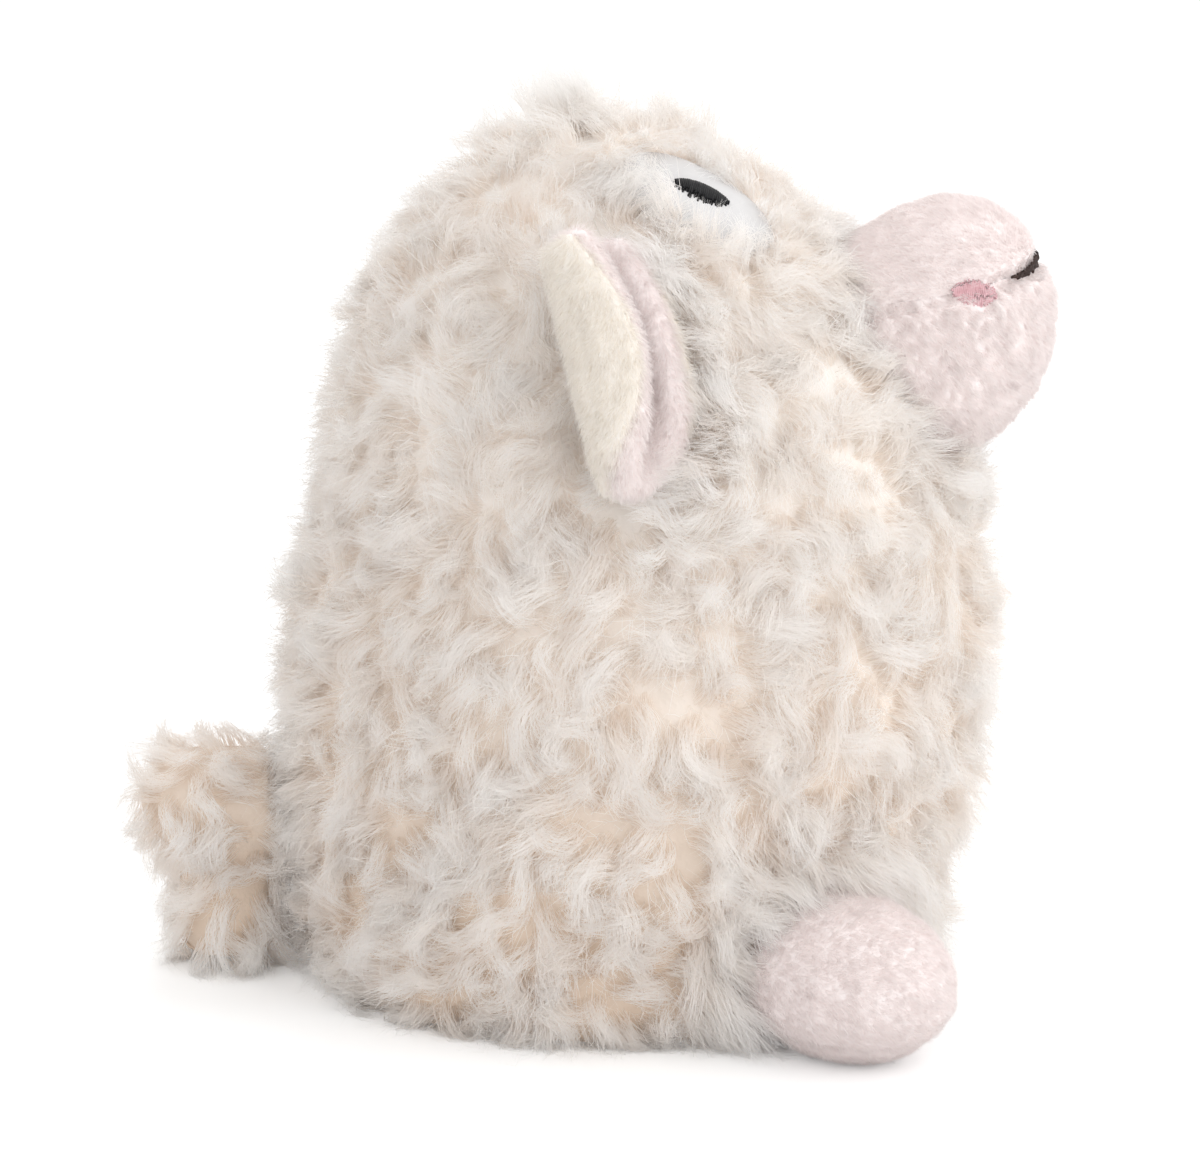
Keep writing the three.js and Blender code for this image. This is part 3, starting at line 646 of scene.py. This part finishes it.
PANEL_SIDES = (("back", -1, PANELS[0]), ("front", 1, PANELS[1]))
for panel, side, node in PANEL_SIDES:
    name = f"{panel}_backing"
    piece = add_object(name, cut(backing_skin, name, seam_point, seam_normal * side), BACKING)
    place(piece, "body", "curly_plush", node)

COVERED = tree_of([
    "muzzle_upper_panel", "muzzle_lower_panel",
    "foot_left_upper", "foot_right_upper", "foot_left_sole", "foot_right_sole",
])
EARS = tree_of([f"ear_{side}_{ply}" for side in SIDES for ply in ("back", "lining")])
ear_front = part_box("ear_right_lining")[1].x - 4 * MM
EYES = [measure(node) for node in EYE_NODES]
EYE_BARE = 0.86  # share of an eye's oval that no curl grows under
EYE_FRINGE = (0.97, 1.3)  # shares of the oval between which wool leans in over it
EYE_REACH = 15 * MM  # either way off an eye's plane


def seam_distance(points):
    """How far points lie in front of the side seam."""
    return (points - np.array(seam_point)) @ np.array(seam_normal)


def clear_of_limbs(points, normals):
    """Which curls have nothing sewn on over them, and how far each may reach."""
    free = np.abs(seam_distance(points)) > SEAM_PARTING
    room = np.full(len(points), 1.0)
    for i, (p, n) in enumerate(zip(points, normals)):
        start, way = Vector(p), Vector(n)
        hit = COVERED.ray_cast(start, way, 0.04)
        if hit[0] is not None:
            free[i] &= hit[3] > WOOL_DEPTH + 3 * MM
            room[i] = hit[3]
        hit = EARS.ray_cast(start, way, 0.03)
        if hit[0] is not None:
            free[i] &= hit[3] > WOOL_DEPTH + 5 * MM
            room[i] = min(room[i], hit[3])
        apart = EARS.find_nearest(start + way * 6 * MM)[3]
        if apart < 9 * MM and start.x < ear_front:
            room[i] = min(room[i], 4 * MM + apart)
    for centre, axes, spans in EYES:
        flat = (points - np.array(centre)) @ np.array([axes[0], axes[1]]).T
        share = np.hypot(flat[:, 0] / (spans[0] / 2), flat[:, 1] / (spans[1] / 2))
        height = np.abs((points - np.array(centre)) @ np.array(axes[2]))
        free &= ~((share < EYE_BARE) & (height < EYE_REACH))
    return free, room


def out_of_body(points, normals):
    """Which curls of the tail stand outside the body."""
    free = np.ones(len(points), bool)
    for i, p in enumerate(points):
        spot, normal, _, _ = body_tree.find_nearest(Vector(p))
        free[i] = (Vector(p) - spot).dot(normal) > -WOOL_DEPTH
    return free, np.full(len(points), 1.0)


def away_from(points, combs, normals, centre, near, far):
    """Turns curls near a point away from it."""
    apart = points - np.array(centre)
    apart = unit(apart - normals * (apart * normals).sum(1, keepdims=True))
    distance = np.linalg.norm(points - np.array(centre), axis=1)
    share = 0.45 * np.clip((far - distance) / (far - near), 0, 1)[:, None]
    return unit(combs * (1 - share) + apart * share)


def off_the_seam(points, combs, normals):
    """Turns curls beside the side seam away from it."""
    ahead = seam_distance(points)
    apart = np.sign(ahead)[:, None] * np.array(seam_normal)
    apart = unit(apart - normals * (apart * normals).sum(1, keepdims=True))
    share = 0.6 * np.clip(1 - np.abs(ahead) / SEAM_REACH, 0, 1)[:, None]
    return unit(combs * (1 - share) + apart * share)


CURL = dict(
    fibres=68, steps=6, length=15 * MM, radius=2.7 * MM, pinch=0.6, frizz=0.32 * MM,
    root_lean=(20, 45), tip_lean=(75, 140), sway=1.7, waves=0.55, stray=0.17,
)
FUZZ = {
    **CURL, "fibres": 8, "length": 14 * MM, "radius": 2.6 * MM, "pinch": 0.1, "frizz": 0.8 * MM,
    "root_lean": (0, 40), "tip_lean": (15, 100), "stray": 0.6,
}
CURL_SPACING = 4.2 * MM
FUZZ_SPACING = 4.2 * MM
COLLAR_SPACING = 3.2 * MM
EYE_FRINGE_SPACING = 2.6 * MM
HEM_SPACING = 3.4 * MM
COLLAR_TRIES, FRINGE_TRIES = 40000, 60000  # points tried over the whole skin
FLUFF_START, FLUFF_SPAN = 95 * MM, 60 * MM  # where locks get looser, up and to the front
WOOL_LEVELS = 5  # pieces of wool over each panel's height
WOOL_WIDTH = 0.14 * MM


def curl_roots(skin, spacing, flow, keep):
    """Roots, normals, directions and room of the curls over a skin."""
    points, normals = scatter(skin, int(6 * area_of(skin) / spacing ** 2))
    chosen = even(points, spacing)
    points, normals = points[chosen], normals[chosen]
    combs = combed(points, normals, flow, 2.0, 13 * MM)
    keeps, room = keep(points, normals)
    return points[keeps], normals[keeps], combs[keeps], room[keeps]


def body_wool():
    roots, outs, combs, room = curl_roots(backing_skin, CURL_SPACING, (0, 0, -0.5), clear_of_limbs)
    for centre, _, spans in EYES:
        combs = away_from(roots, combs, outs, centre, spans[1] / 2, spans[0] / 2 + 8 * MM)
    combs = off_the_seam(roots, combs, outs)
    fluff = np.clip((0.7 * roots[:, 0] + roots[:, 2] - FLUFF_START) / FLUFF_SPAN, 0, 1)
    style = {
        **CURL, "reach": np.maximum(1.3 * room, 6 * MM),
        "pinch": CURL["pinch"] * (1 - 0.55 * fluff), "frizz": CURL["frizz"] * (1 + 0.5 * fluff),
    }
    lines, own = grow(roots, outs, combs, style)
    ahead = seam_distance(roots)
    levels = np.quantile(roots[:, 2], np.arange(WOOL_LEVELS) / WOOL_LEVELS)
    level = np.searchsorted(levels, roots[:, 2], side="right") - 1
    for panel, side, node in PANEL_SIDES:
        for number in range(WOOL_LEVELS):
            chosen = ((ahead * side > 0) & (level == number))[own]
            name = f"wool_{panel}_{number + 1}"
            piece = fibre_piece(name, lines[chosen], own[chosen], outs, WOOL_WIDTH, WOOL)
            place(piece, "body", "curly_plush", node)


body_wool()


def both_panels(name, lines, own, outs, roots):
    """Fibres in two pieces, one on each panel of the body."""
    ahead = seam_distance(roots)
    for panel, side, node in PANEL_SIDES:
        chosen = (ahead * side > 0)[own]
        if chosen.any():
            piece = fibre_piece(f"{name}_{panel}", lines[chosen], own[chosen], outs, WOOL_WIDTH, WOOL)
            place(piece, "body", "curly_plush", node)


def loose_fuzz():
    """Single fibres that stand out between the curls."""
    roots, outs, combs, room = curl_roots(backing_skin, FUZZ_SPACING, (0, 0, -0.3), clear_of_limbs)
    lines, own = grow(roots, outs, combs, {**FUZZ, "reach": np.maximum(room, 5 * MM)})
    both_panels("fuzz", lines, own, outs, roots)


loose_fuzz()


def collar(name, around, flow, reach, style, front=-1.0):
    """Curls of the body that lie over the root of a limb, from some x on."""
    limb = tree_of(around)
    points, normals = scatter(backing_skin, COLLAR_TRIES)
    near = []
    for p, n in zip(points, normals):
        spot = Vector(p)
        apart = limb.find_nearest(spot)[3]
        under = limb.ray_cast(spot, Vector(n), 0.02)[0] is not None
        near.append(apart < WOOL_DEPTH + reach and not under and spot.x > front)
    points, normals = points[near], normals[near]
    chosen = even(points, COLLAR_SPACING)
    roots, outs = points[chosen], normals[chosen]
    combs = combed(roots, outs, flow, 0.7, 10 * MM)
    lines, own = grow(roots, outs, combs, style)
    both_panels(name, lines, own, outs, roots)


LAID = {**CURL, "root_lean": (25, 45), "tip_lean": (70, 105), "sway": 1.0}
HANGING = {**CURL, "length": 21 * MM, "root_lean": (15, 35), "tip_lean": (75, 115), "sway": 0.8}
RAISED = {**CURL, "length": 18 * MM, "root_lean": (0, 15), "tip_lean": (40, 110), "sway": 1.0}
for side in SIDES:
    collar(f"collar_foot_{side}", [f"foot_{side}_upper"], (0.7, 0, -1), 9 * MM, HANGING)
    collar(f"collar_ear_{side}", [f"ear_{side}_back"], (-1, 0, 0.2), 11 * MM, RAISED, ear_front)
collar("collar_muzzle", ["muzzle_upper_panel", "muzzle_lower_panel"], (1, 0, 0.3), 5 * MM, LAID)
collar("collar_tail", ["tail_skin"], (-1, 0, -0.2), 5 * MM, LAID)


def eye_fringe(side):
    """Wool that lies in over the rim of an eye."""
    centre, axes, spans = measure(f"eye_white_{side}")
    points, normals = scatter(backing_skin, FRINGE_TRIES)
    apart = (points - np.array(centre)) @ np.array(axes).T
    share = np.hypot(apart[:, 0] / (spans[0] / 2), apart[:, 1] / (spans[1] / 2))
    near = (share > EYE_FRINGE[0]) & (share < EYE_FRINGE[1]) & (np.abs(apart[:, 2]) < EYE_REACH)
    points, normals = points[near], normals[near]
    chosen = even(points, EYE_FRINGE_SPACING)
    roots, outs = points[chosen], normals[chosen]
    inward = unit(np.array(centre) - roots)
    combs = combed(roots, outs, inward, 1.0, 8 * MM)
    style = {
        **CURL, "fibres": 40, "length": 9 * MM, "radius": 1.8 * MM,
        "root_lean": (10, 35), "tip_lean": (45, 85), "sway": 0.8,
    }
    lines, own = grow(roots, outs, combs, style)
    both_panels(f"eye_fringe_{side}", lines, own, outs, roots)


for side in SIDES:
    eye_fringe(side)


def skirt_fringe():
    """Curls along the hem, which hang to the floor and hide it."""
    points, normals = scatter(backing_skin, FRINGE_TRIES)
    low = points[:, 2] < 5 * MM
    points, normals = points[low], normals[low]
    points[:, 2] += 2 * MM
    chosen = even(points, HEM_SPACING)
    roots, outs = points[chosen], normals[chosen]
    keeps, room = clear_of_limbs(roots, outs)
    roots, outs, room = roots[keeps], outs[keeps], room[keeps]
    combs = combed(roots, outs, (0, 0, -1), 0.6, 10 * MM)
    style = {
        **CURL, "length": 13 * MM, "root_lean": (35, 65), "tip_lean": (70, 110),
        "reach": np.maximum(room, 6 * MM),
    }
    lines, own = grow(roots, outs, combs, style)
    both_panels("fringe", lines, own, outs, roots)


skirt_fringe()


def crown_tuft():
    """A loose tuft of longer white fibres on top of the head."""
    spots = [(x, y) for x in np.arange(-10, 3, 3) for y in (-4, 0, 4)]
    roots, outs = [], []
    for x, y in spots:
        hit = body_tree.ray_cast(Vector((x * MM, y * MM, 0.3)), Vector((0, 0, -1)))
        roots.append(hit[0] - hit[1] * WOOL_DEPTH)
        outs.append(Vector((-0.15, y / 30, 1)).normalized())
    roots, outs = np.array(roots), np.array(outs)
    style = {
        **CURL, "length": 14 * MM, "fibres": 50, "radius": 2.4 * MM, "pinch": 0.3,
        "root_lean": (0, 15), "tip_lean": (20, 90), "sway": 0.8,
    }
    lines, own = grow(roots, outs, combed(roots, outs, (-0.3, 0, 0), 1.5, 6 * MM), style)
    sides = unit(np.stack([0.3 * outs[:, 0], np.sign(roots[:, 1]) + 0.1, 0.4 * outs[:, 2]], axis=1))
    place(fibre_piece("crown_tuft", lines, own, sides, WOOL_WIDTH, TUFT), "body", "white_plush")


crown_tuft()


def rooted(mesh, depth):
    """Pushes the sewn end of a limb's skin into the body, so that the wool closes round it."""
    points = points_of(mesh)
    for i, p in enumerate(points):
        spot, normal, _, _ = body_tree.find_nearest(Vector(p))
        height = (Vector(p) - spot).dot(normal)
        points[i] -= np.array(normal) * depth * min(max((4 * MM - height) / (3 * MM), 0), 1)
    move_points(mesh, points)


# Short pile
PILE = dict(
    fibres=2, steps=3, length=1.7 * MM, radius=0.3 * MM, pinch=0.2, frizz=0.06 * MM,
    root_lean=(28, 48), tip_lean=(58, 78), sway=0.3, waves=0.4, stray=0.3,
)
STREAKS = {**PILE, "fibres": 6, "length": 2.4 * MM, "radius": 0.6 * MM, "pinch": 0.5}
PILE_WIDTH = 0.13 * MM


def pile(name, skin, density, flow, swirl, size, style, material, bare=None):
    """Short plush over a skin, so many fibres to a square millimetre, none of it on the bare nodes."""
    points, normals = scatter(skin, int(density * area_of(skin) / MM ** 2 / style["fibres"]))
    free = out_of_body(points, normals)[0]
    if bare is not None:
        free &= [bare.find_nearest(Vector(p))[3] > 0.3 * PLUSH_DEPTH for p in points]
    points, normals = points[free], normals[free]
    lines, own = grow(points, normals, combed(points, normals, flow, swirl, size), style)
    return fibre_piece(name, lines, own, normals, PILE_WIDTH, material)


# Muzzle: two panels that meet in the mouth seam
MUZZLE_PANELS = ("muzzle_upper_panel", "muzzle_lower_panel")
EMBROIDERY = ("mouth_stitching", "cheek_spot_left", "cheek_spot_right")
mouth_point, mouth_normal = seam_between(*MUZZLE_PANELS)
mouth_middle = middle("mouth_stitching")
muzzle_skin = cloth_copy("muzzle_skin", (*MUZZLE_PANELS, "muzzle_stuffing"), 0.6 * MM, 44, 0.5 * MM)
crease(muzzle_skin, mouth_point, mouth_normal, 1.4 * MM, 0.9 * MM)
crease(muzzle_skin, mouth_point, mouth_normal, 3 * MM, 1.6 * MM, mouth_middle, 18 * MM)
rooted(muzzle_skin, 9 * MM)
muzzle_tree = skin_tree(muzzle_skin)
muzzle_base = inset(muzzle_skin, PLUSH_DEPTH)
BRUSHED = Vector((0.75, 0, -0.65))  # way of the plush under the mouth
sewn = tree_of(EMBROIDERY)
for name, side, flow, style, density in (
    ("upper", 1, (-1, 0, 0.2), PILE, 13),
    ("lower", -1, BRUSHED, STREAKS, 11.5),
):
    node = f"muzzle_{name}_panel"
    skin = cut(muzzle_base, f"muzzle_{name}_cloth", mouth_point, mouth_normal * side)
    if side < 0:
        furrow(skin, BRUSHED, 1.4 * MM, 12 * MM, 0.6 * MM)
    fur = pile(f"muzzle_{name}_pile", skin, density, flow, 0.35, 8 * MM, style, PINK_PILE, sewn)
    place(fur, "body", "pink_plush", node)
    cloth = add_object(f"muzzle_{name}_cloth", skin, PINK_CLOTH)
    place(cloth, "body", "pink_plush", node)


# Embroidery: threads side by side over a cloth
def thread_mesh(name, paths, radius):
    """Round threads along paths of points."""
    points, faces = [], []
    corners = 6
    for path in paths:
        start = len(points)
        for i, p in enumerate(path):
            ahead = (path[min(i + 1, len(path) - 1)] - path[max(i - 1, 0)]).normalized()
            x = ahead.orthogonal().normalized()
            y = ahead.cross(x)
            for c in range(corners):
                turn = 2 * math.pi * c / corners
                points.append(p + (x * math.cos(turn) + y * math.sin(turn)) * radius)
        for i in range(len(path) - 1):
            for c in range(corners):
                d = (c + 1) % corners
                low = start + i * corners
                faces.append((low + c, low + d, low + corners + d, low + corners + c))
        last = start + (len(path) - 1) * corners
        faces.append(tuple(start + c for c in reversed(range(corners))))
        faces.append(tuple(last + c for c in range(corners)))
    return mesh_from(name, points, faces)


def on_cloth(tree, point, out):
    """Where a point lands on a cloth, seen from outside."""
    hit = tree.ray_cast(point + out * 20 * MM, -out)[0]
    return hit if hit is not None else point


def satin(name, tree, centre, along, across, out, length, width, thread, jags, lift, sink, material):
    """An oval filled with threads across it, which end short of its edges by chance and dip there."""
    count = int(length / thread)
    paths = []
    for i in range(count):
        row = (i + 0.5) / count * 2 - 1
        half = width / 2 * math.sqrt(1 - row ** 2)
        low, high = -half + jags[0] * chance.random(), half - jags[1] * chance.random()
        path = []
        for share in np.linspace(0, 1, 9):
            spot = centre + along * (row * length / 2) + across * (low + (high - low) * share)
            arch = lift - sink * abs(2 * share - 1) ** 4
            path.append(on_cloth(tree, spot, out) + out * arch)
        paths.append(path)
    return add_object(name, thread_mesh(name, paths, 0.62 * thread), material)


def facing_out(axis, point):
    return axis if axis.dot(point - body_centre) > 0 else -axis


for side in SIDES:
    centre, axes, spans = measure(f"cheek_spot_{side}")
    out = Vector((0, 1 if side == "left" else -1, 0.15)).normalized()
    along = (axes[0] - out * axes[0].dot(out)).normalized()
    spot = satin(
        f"cheek_spot_{side}_threads", muzzle_tree, centre, along, out.cross(along), out,
        spans[0], spans[1], 0.4 * MM, (0.8 * MM, 0.8 * MM),
        -0.4 * PLUSH_DEPTH, 1.2 * PLUSH_DEPTH, PINK_THREAD,
    )
    place(spot, "body", "pink_thread", f"cheek_spot_{side}")


def mouth():
    """Dark stitches over the seam, round the muzzle's tip."""
    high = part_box("mouth_stitching")[1]
    inner = middle("muzzle_stuffing")
    inner = inner - mouth_normal * (inner - mouth_point).dot(mouth_normal)
    thread = 0.5 * MM
    ahead = Vector((1, 0, -mouth_normal.x / mouth_normal.z)).normalized()
    paths = []
    for turn in np.arange(-1.5, 1.5, 0.7 * thread / (25 * MM)):
        way = ahead * math.cos(turn) + Vector((0, math.sin(turn), 0))
        edge = abs(muzzle_tree.ray_cast(inner, way)[0].y / high.y)
        if edge > 1:
            continue
        tall = (1.2 + 0.5 * chance.normal()) * MM * (1 - 0.7 * edge ** 2)
        slant = 3 * chance.normal() * thread
        lie = chance.normal(0, 0.25 * MM)
        path = []
        for share in np.linspace(-0.5, 0.5, 7):
            start = inner + mouth_normal * (tall * share + lie) + Vector((0, slant * share, 0))
            tip = muzzle_tree.ray_cast(start, way)[0] or start
            path.append(tip + way * thread * (0.9 - 5 * abs(share) ** 3))
        paths.append(path)
    return add_object("mouth_threads", thread_mesh("mouth_threads", paths, 0.6 * thread), BROWN_THREAD)


place(mouth(), "body", "brown_thread", "mouth_stitching")


# Eyes: a padded white oval and an embroidered pupil
def eye(side):
    node = f"eye_white_{side}"
    centre, axes, spans = measure(node)
    out = facing_out(axes[2], centre)
    rings, columns, puff, rim = 14, 56, 1.0 * MM, 4 * MM
    grid = np.zeros((rings + 2, columns, 3))
    for r in range(rings + 1):
        share = r / rings
        for c in range(columns):
            turn = 2 * math.pi * c / columns
            flat = axes[0] * (math.cos(turn) * spans[0] / 2) + axes[1] * (math.sin(turn) * spans[1] / 2)
            spot = on_cloth(body_tree, centre + flat * share, out)
            grid[r, c] = spot + out * (puff * (1 - share ** 3) - 1.2 * MM)
            grid[rings + 1, c] = spot - out * rim
    mesh = grid_mesh(f"eye_{side}_cloth", grid)
    if (mesh.polygons[0].normal).dot(out) < 0:
        mesh.flip_normals()
    spot, pupil_axes, pupil_spans = measure(f"pupil_{side}")
    tree = skin_tree(mesh)
    dome = add_object(f"eye_{side}_cloth", mesh, WHITE_CLOTH)
    place(dome, "body", "white_plush", node)
    along = pupil_axes[0] - out * pupil_axes[0].dot(out)
    across = out.cross(along).normalized()
    if across.z < 0:
        across = -across
    threads = satin(
        f"pupil_{side}_threads", tree, spot, along.normalized(), across, out,
        pupil_spans[0], pupil_spans[1], 0.42 * MM, (1.6 * MM, 0), 0.34 * MM, 0.7 * MM, BLACK_THREAD,
    )
    place(threads, "body", "black_thread", f"pupil_{side}")


for side in SIDES:
    eye(side)


# Ears: two curled plies
EAR_PILE = {**PILE, "length": 2.6 * MM}
EAR_PUFF = {"back": 0.5 * MM, "lining": 2.0 * MM}  # of the padded plies
for side in SIDES:
    limb = f"ear_{side}"
    for ply, cloth, fur, slot in (
        ("back", CREAM_CLOTH, CREAM_PILE, "cream_plush"),
        ("lining", PINK_CLOTH, PINK_PILE, "pink_plush"),
    ):
        node = f"ear_{side}_{ply}"
        mesh = inset(cloth_copy(f"{node}_cloth", [node], 0.8 * MM, 8), -EAR_PUFF[ply])
        hair = pile(f"{node}_pile", mesh, 10, (0, 0, -1), 0.6, 6 * MM, EAR_PILE, fur)
        bend(hair, limb, slot, node)
        bend(add_object(f"{node}_cloth", mesh, cloth), limb, slot, node)


# Feet: an upper and a sole that meet in a seam just over the floor
for side in SIDES:
    limb = f"foot_{side}"
    upper, sole = f"foot_{side}_upper", f"foot_{side}_sole"
    centre = middle(upper, sole)
    out = Vector((centre.x - body_centre.x, centre.y, 0)).normalized()
    skin = cloth_copy(f"{limb}_skin", (upper, sole, f"foot_{side}_stuffing"), 0.8 * MM, 26, 0.5 * MM)
    edge = Vector((0, 0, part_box(sole)[1].z))
    crease(skin, edge, Vector((0, 0, 1)), 1.2 * MM, 0.9 * MM)
    rooted(skin, 8 * MM)
    base = inset(skin, PLUSH_DEPTH)
    flow = Vector((1, 0.3 * out.y, -0.3))
    furrow(base, flow, 1.7 * MM, 14 * MM, 0.3 * MM)
    settle(base, 0.4 * MM)
    for node, way in ((upper, 1), (sole, -1)):
        mesh = cut(base, f"{node}_cloth", edge, Vector((0, 0, way)))
        hair = pile(f"{node}_pile", mesh, 12, flow, 0.35, 9 * MM, PILE, PINK_PILE)
        bend(hair, limb, "pink_plush", node)
        cloth = add_object(f"{node}_cloth", mesh, PINK_CLOTH)
        bend(cloth, limb, "pink_plush", node)


# Tail: backing cloth and curly wool
def tail():
    base = inset(cloth_copy("tail_backing", ("tail_skin", "tail_stuffing"), 2 * MM, 6, 0.5 * MM), 4 * MM)
    ruffle(base, LUMP_SIZE, LUMP_DEPTH)
    rooted(base, 9 * MM)
    settle(base, 1 * MM)
    roots, outs, combs, _ = curl_roots(base, CURL_SPACING, (-0.5, 0, -0.9), out_of_body)
    lines, own = grow(roots, outs, combs, {**CURL, "length": 14 * MM})
    hair = fibre_piece("tail_wool", lines, own, outs, WOOL_WIDTH, WOOL)
    bend(hair, "tail", "curly_plush", "tail_skin")
    cloth = add_object("tail_backing", base, BACKING)
    bend(cloth, "tail", "curly_plush", "tail_skin")


tail()


# Fillings, and the wolf side turned in
def tuck(mesh, tree, depth):
    """Draws what stands out of a skin back under it."""
    points = points_of(mesh)
    for i, p in enumerate(points):
        spot, normal, _, _ = tree.find_nearest(Vector(p))
        if (Vector(p) - spot).dot(normal) > -depth:
            points[i] = spot - normal * depth
    move_points(mesh, points)


def plush_copy(node, body, voxel, smoothing, lumps, material, slot):
    mesh = cloth_copy(f"{node}_soft", [node], voxel, smoothing)
    ruffle(mesh, 5 * MM, lumps)
    return place(add_object(f"{node}_soft", mesh, material), body, slot, node)


body_of_node = {n: body for body, names in frame["record"]["behaviour"]["bodies"].items() for n in names}
for part in ("body", "muzzle", "foot_left", "foot_right", "tail"):
    node = f"{part}_stuffing"
    plush_copy(node, body_of_node[node], 2.5 * MM, 4, 0.4 * MM, FILLING, "fibre_filling")
WOLF_PADDED = (1 * MM, 10, 0.3 * MM)  # voxel, smoothing and lumps of the wolf's stuffed pieces
lining = plush_copy("wolf_lining", "body", 1.5 * MM, 3, 0.15 * MM, GREY_CLOTH, "grey_plush")
tuck(lining.data, backing_tree, 1.2 * MM)
muzzle = plush_copy("wolf_muzzle", "body", *WOLF_PADDED, PALE_GREY_CLOTH, "pale_grey_plush")
plush_copy("wolf_nose", "body", 0.6 * MM, 6, 0.1 * MM, BLACK_THREAD, "black_thread")
for side in SIDES:
    plush_copy(f"wolf_eye_white_{side}", "body", 0.5 * MM, 4, 0.1 * MM, WHITE_CLOTH, "white_plush")
    plush_copy(f"wolf_pupil_{side}", "body", 0.3 * MM, 3, 0.05 * MM, BLACK_THREAD, "black_thread")
    for ply, material, slot in (
        ("back", GREY_CLOTH, "grey_plush"),
        ("lining", PALE_GREY_CLOTH, "pale_grey_plush"),
    ):
        plush_copy(f"wolf_ear_{side}_{ply}", f"wolf_ear_{side}", 0.7 * MM, 6, 0.1 * MM, material, slot)
    paw = plush_copy(f"wolf_paw_{side}", f"wolf_paw_{side}", *WOLF_PADDED, GREY_CLOTH, "grey_plush")
plush_copy("wolf_tail", "wolf_tail", *WOLF_PADDED, GREY_CLOTH, "grey_plush")


# Camera, floor and light

def camera():
    data = bpy.data.cameras.new("camera")
    data.lens = data.sensor_width * DISTANCE / FIELD_WIDTH
    made = bpy.data.objects.new("camera", data)
    bpy.context.scene.collection.objects.link(made)
    back = Vector((0, -math.cos(ELEVATION), math.sin(ELEVATION)))
    made.location = AIM + back * DISTANCE
    made.rotation_euler = (-back).to_track_quat("-Z", "Y").to_euler()
    bpy.context.scene.camera = made


def studio():
    scene = bpy.context.scene
    scene.view_settings.view_transform = "Standard"
    world = bpy.data.worlds.new("studio")
    scene.world = world
    world.use_nodes = True
    tree = world.node_tree
    light = tree.nodes["Background"]
    light.inputs["Color"].default_value = (1, 1, 1, 1)
    light.inputs["Strength"].default_value = WORLD_STRENGTH
    shown = tree.nodes.new("ShaderNodeBackground")
    shown.inputs["Strength"].default_value = 1
    shown.inputs["Color"].default_value = (1, 1, 1, 1)
    path = tree.nodes.new("ShaderNodeLightPath")
    mix = tree.nodes.new("ShaderNodeMixShader")
    tree.links.new(path.outputs["Is Camera Ray"], mix.inputs["Fac"])
    tree.links.new(light.outputs["Background"], mix.inputs[1])
    tree.links.new(shown.outputs["Background"], mix.inputs[2])
    tree.links.new(mix.outputs["Shader"], tree.nodes["World Output"].inputs["Surface"])
    for name, spot, size, power in LAMPS:
        lamp = bpy.data.lights.new(name, "AREA")
        lamp.size = size
        lamp.energy = power
        made = bpy.data.objects.new(name, lamp)
        scene.collection.objects.link(made)
        made.location = spot
        made.rotation_euler = (AIM - Vector(spot)).to_track_quat("-Z", "Y").to_euler()


def floor():
    size = 6.0
    points = [(x, y, 0) for x, y in ((-size, -size), (size, -size), (size, size), (-size, size))]
    material, tree, shader = new_material("floor", 0.9)
    shader.inputs["Base Color"].default_value = (0.9, 0.9, 0.9, 1)
    glow = tree.nodes.new("ShaderNodeEmission")
    path = tree.nodes.new("ShaderNodeLightPath")
    lift = tree.nodes.new("ShaderNodeMath")
    lift.operation = "MULTIPLY"
    lift.inputs[1].default_value = FLOOR_GLOW
    both = tree.nodes.new("ShaderNodeAddShader")
    tree.links.new(path.outputs["Is Camera Ray"], lift.inputs[0])
    tree.links.new(lift.outputs["Value"], glow.inputs["Strength"])
    tree.links.new(shader.outputs["BSDF"], both.inputs[0])
    tree.links.new(glow.outputs["Emission"], both.inputs[1])
    tree.links.new(both.outputs["Shader"], tree.nodes["Material Output"].inputs["Surface"])
    add_object("floor", mesh_from("floor", points, [(0, 1, 2, 3)], False), material)


camera()
studio()
floor()
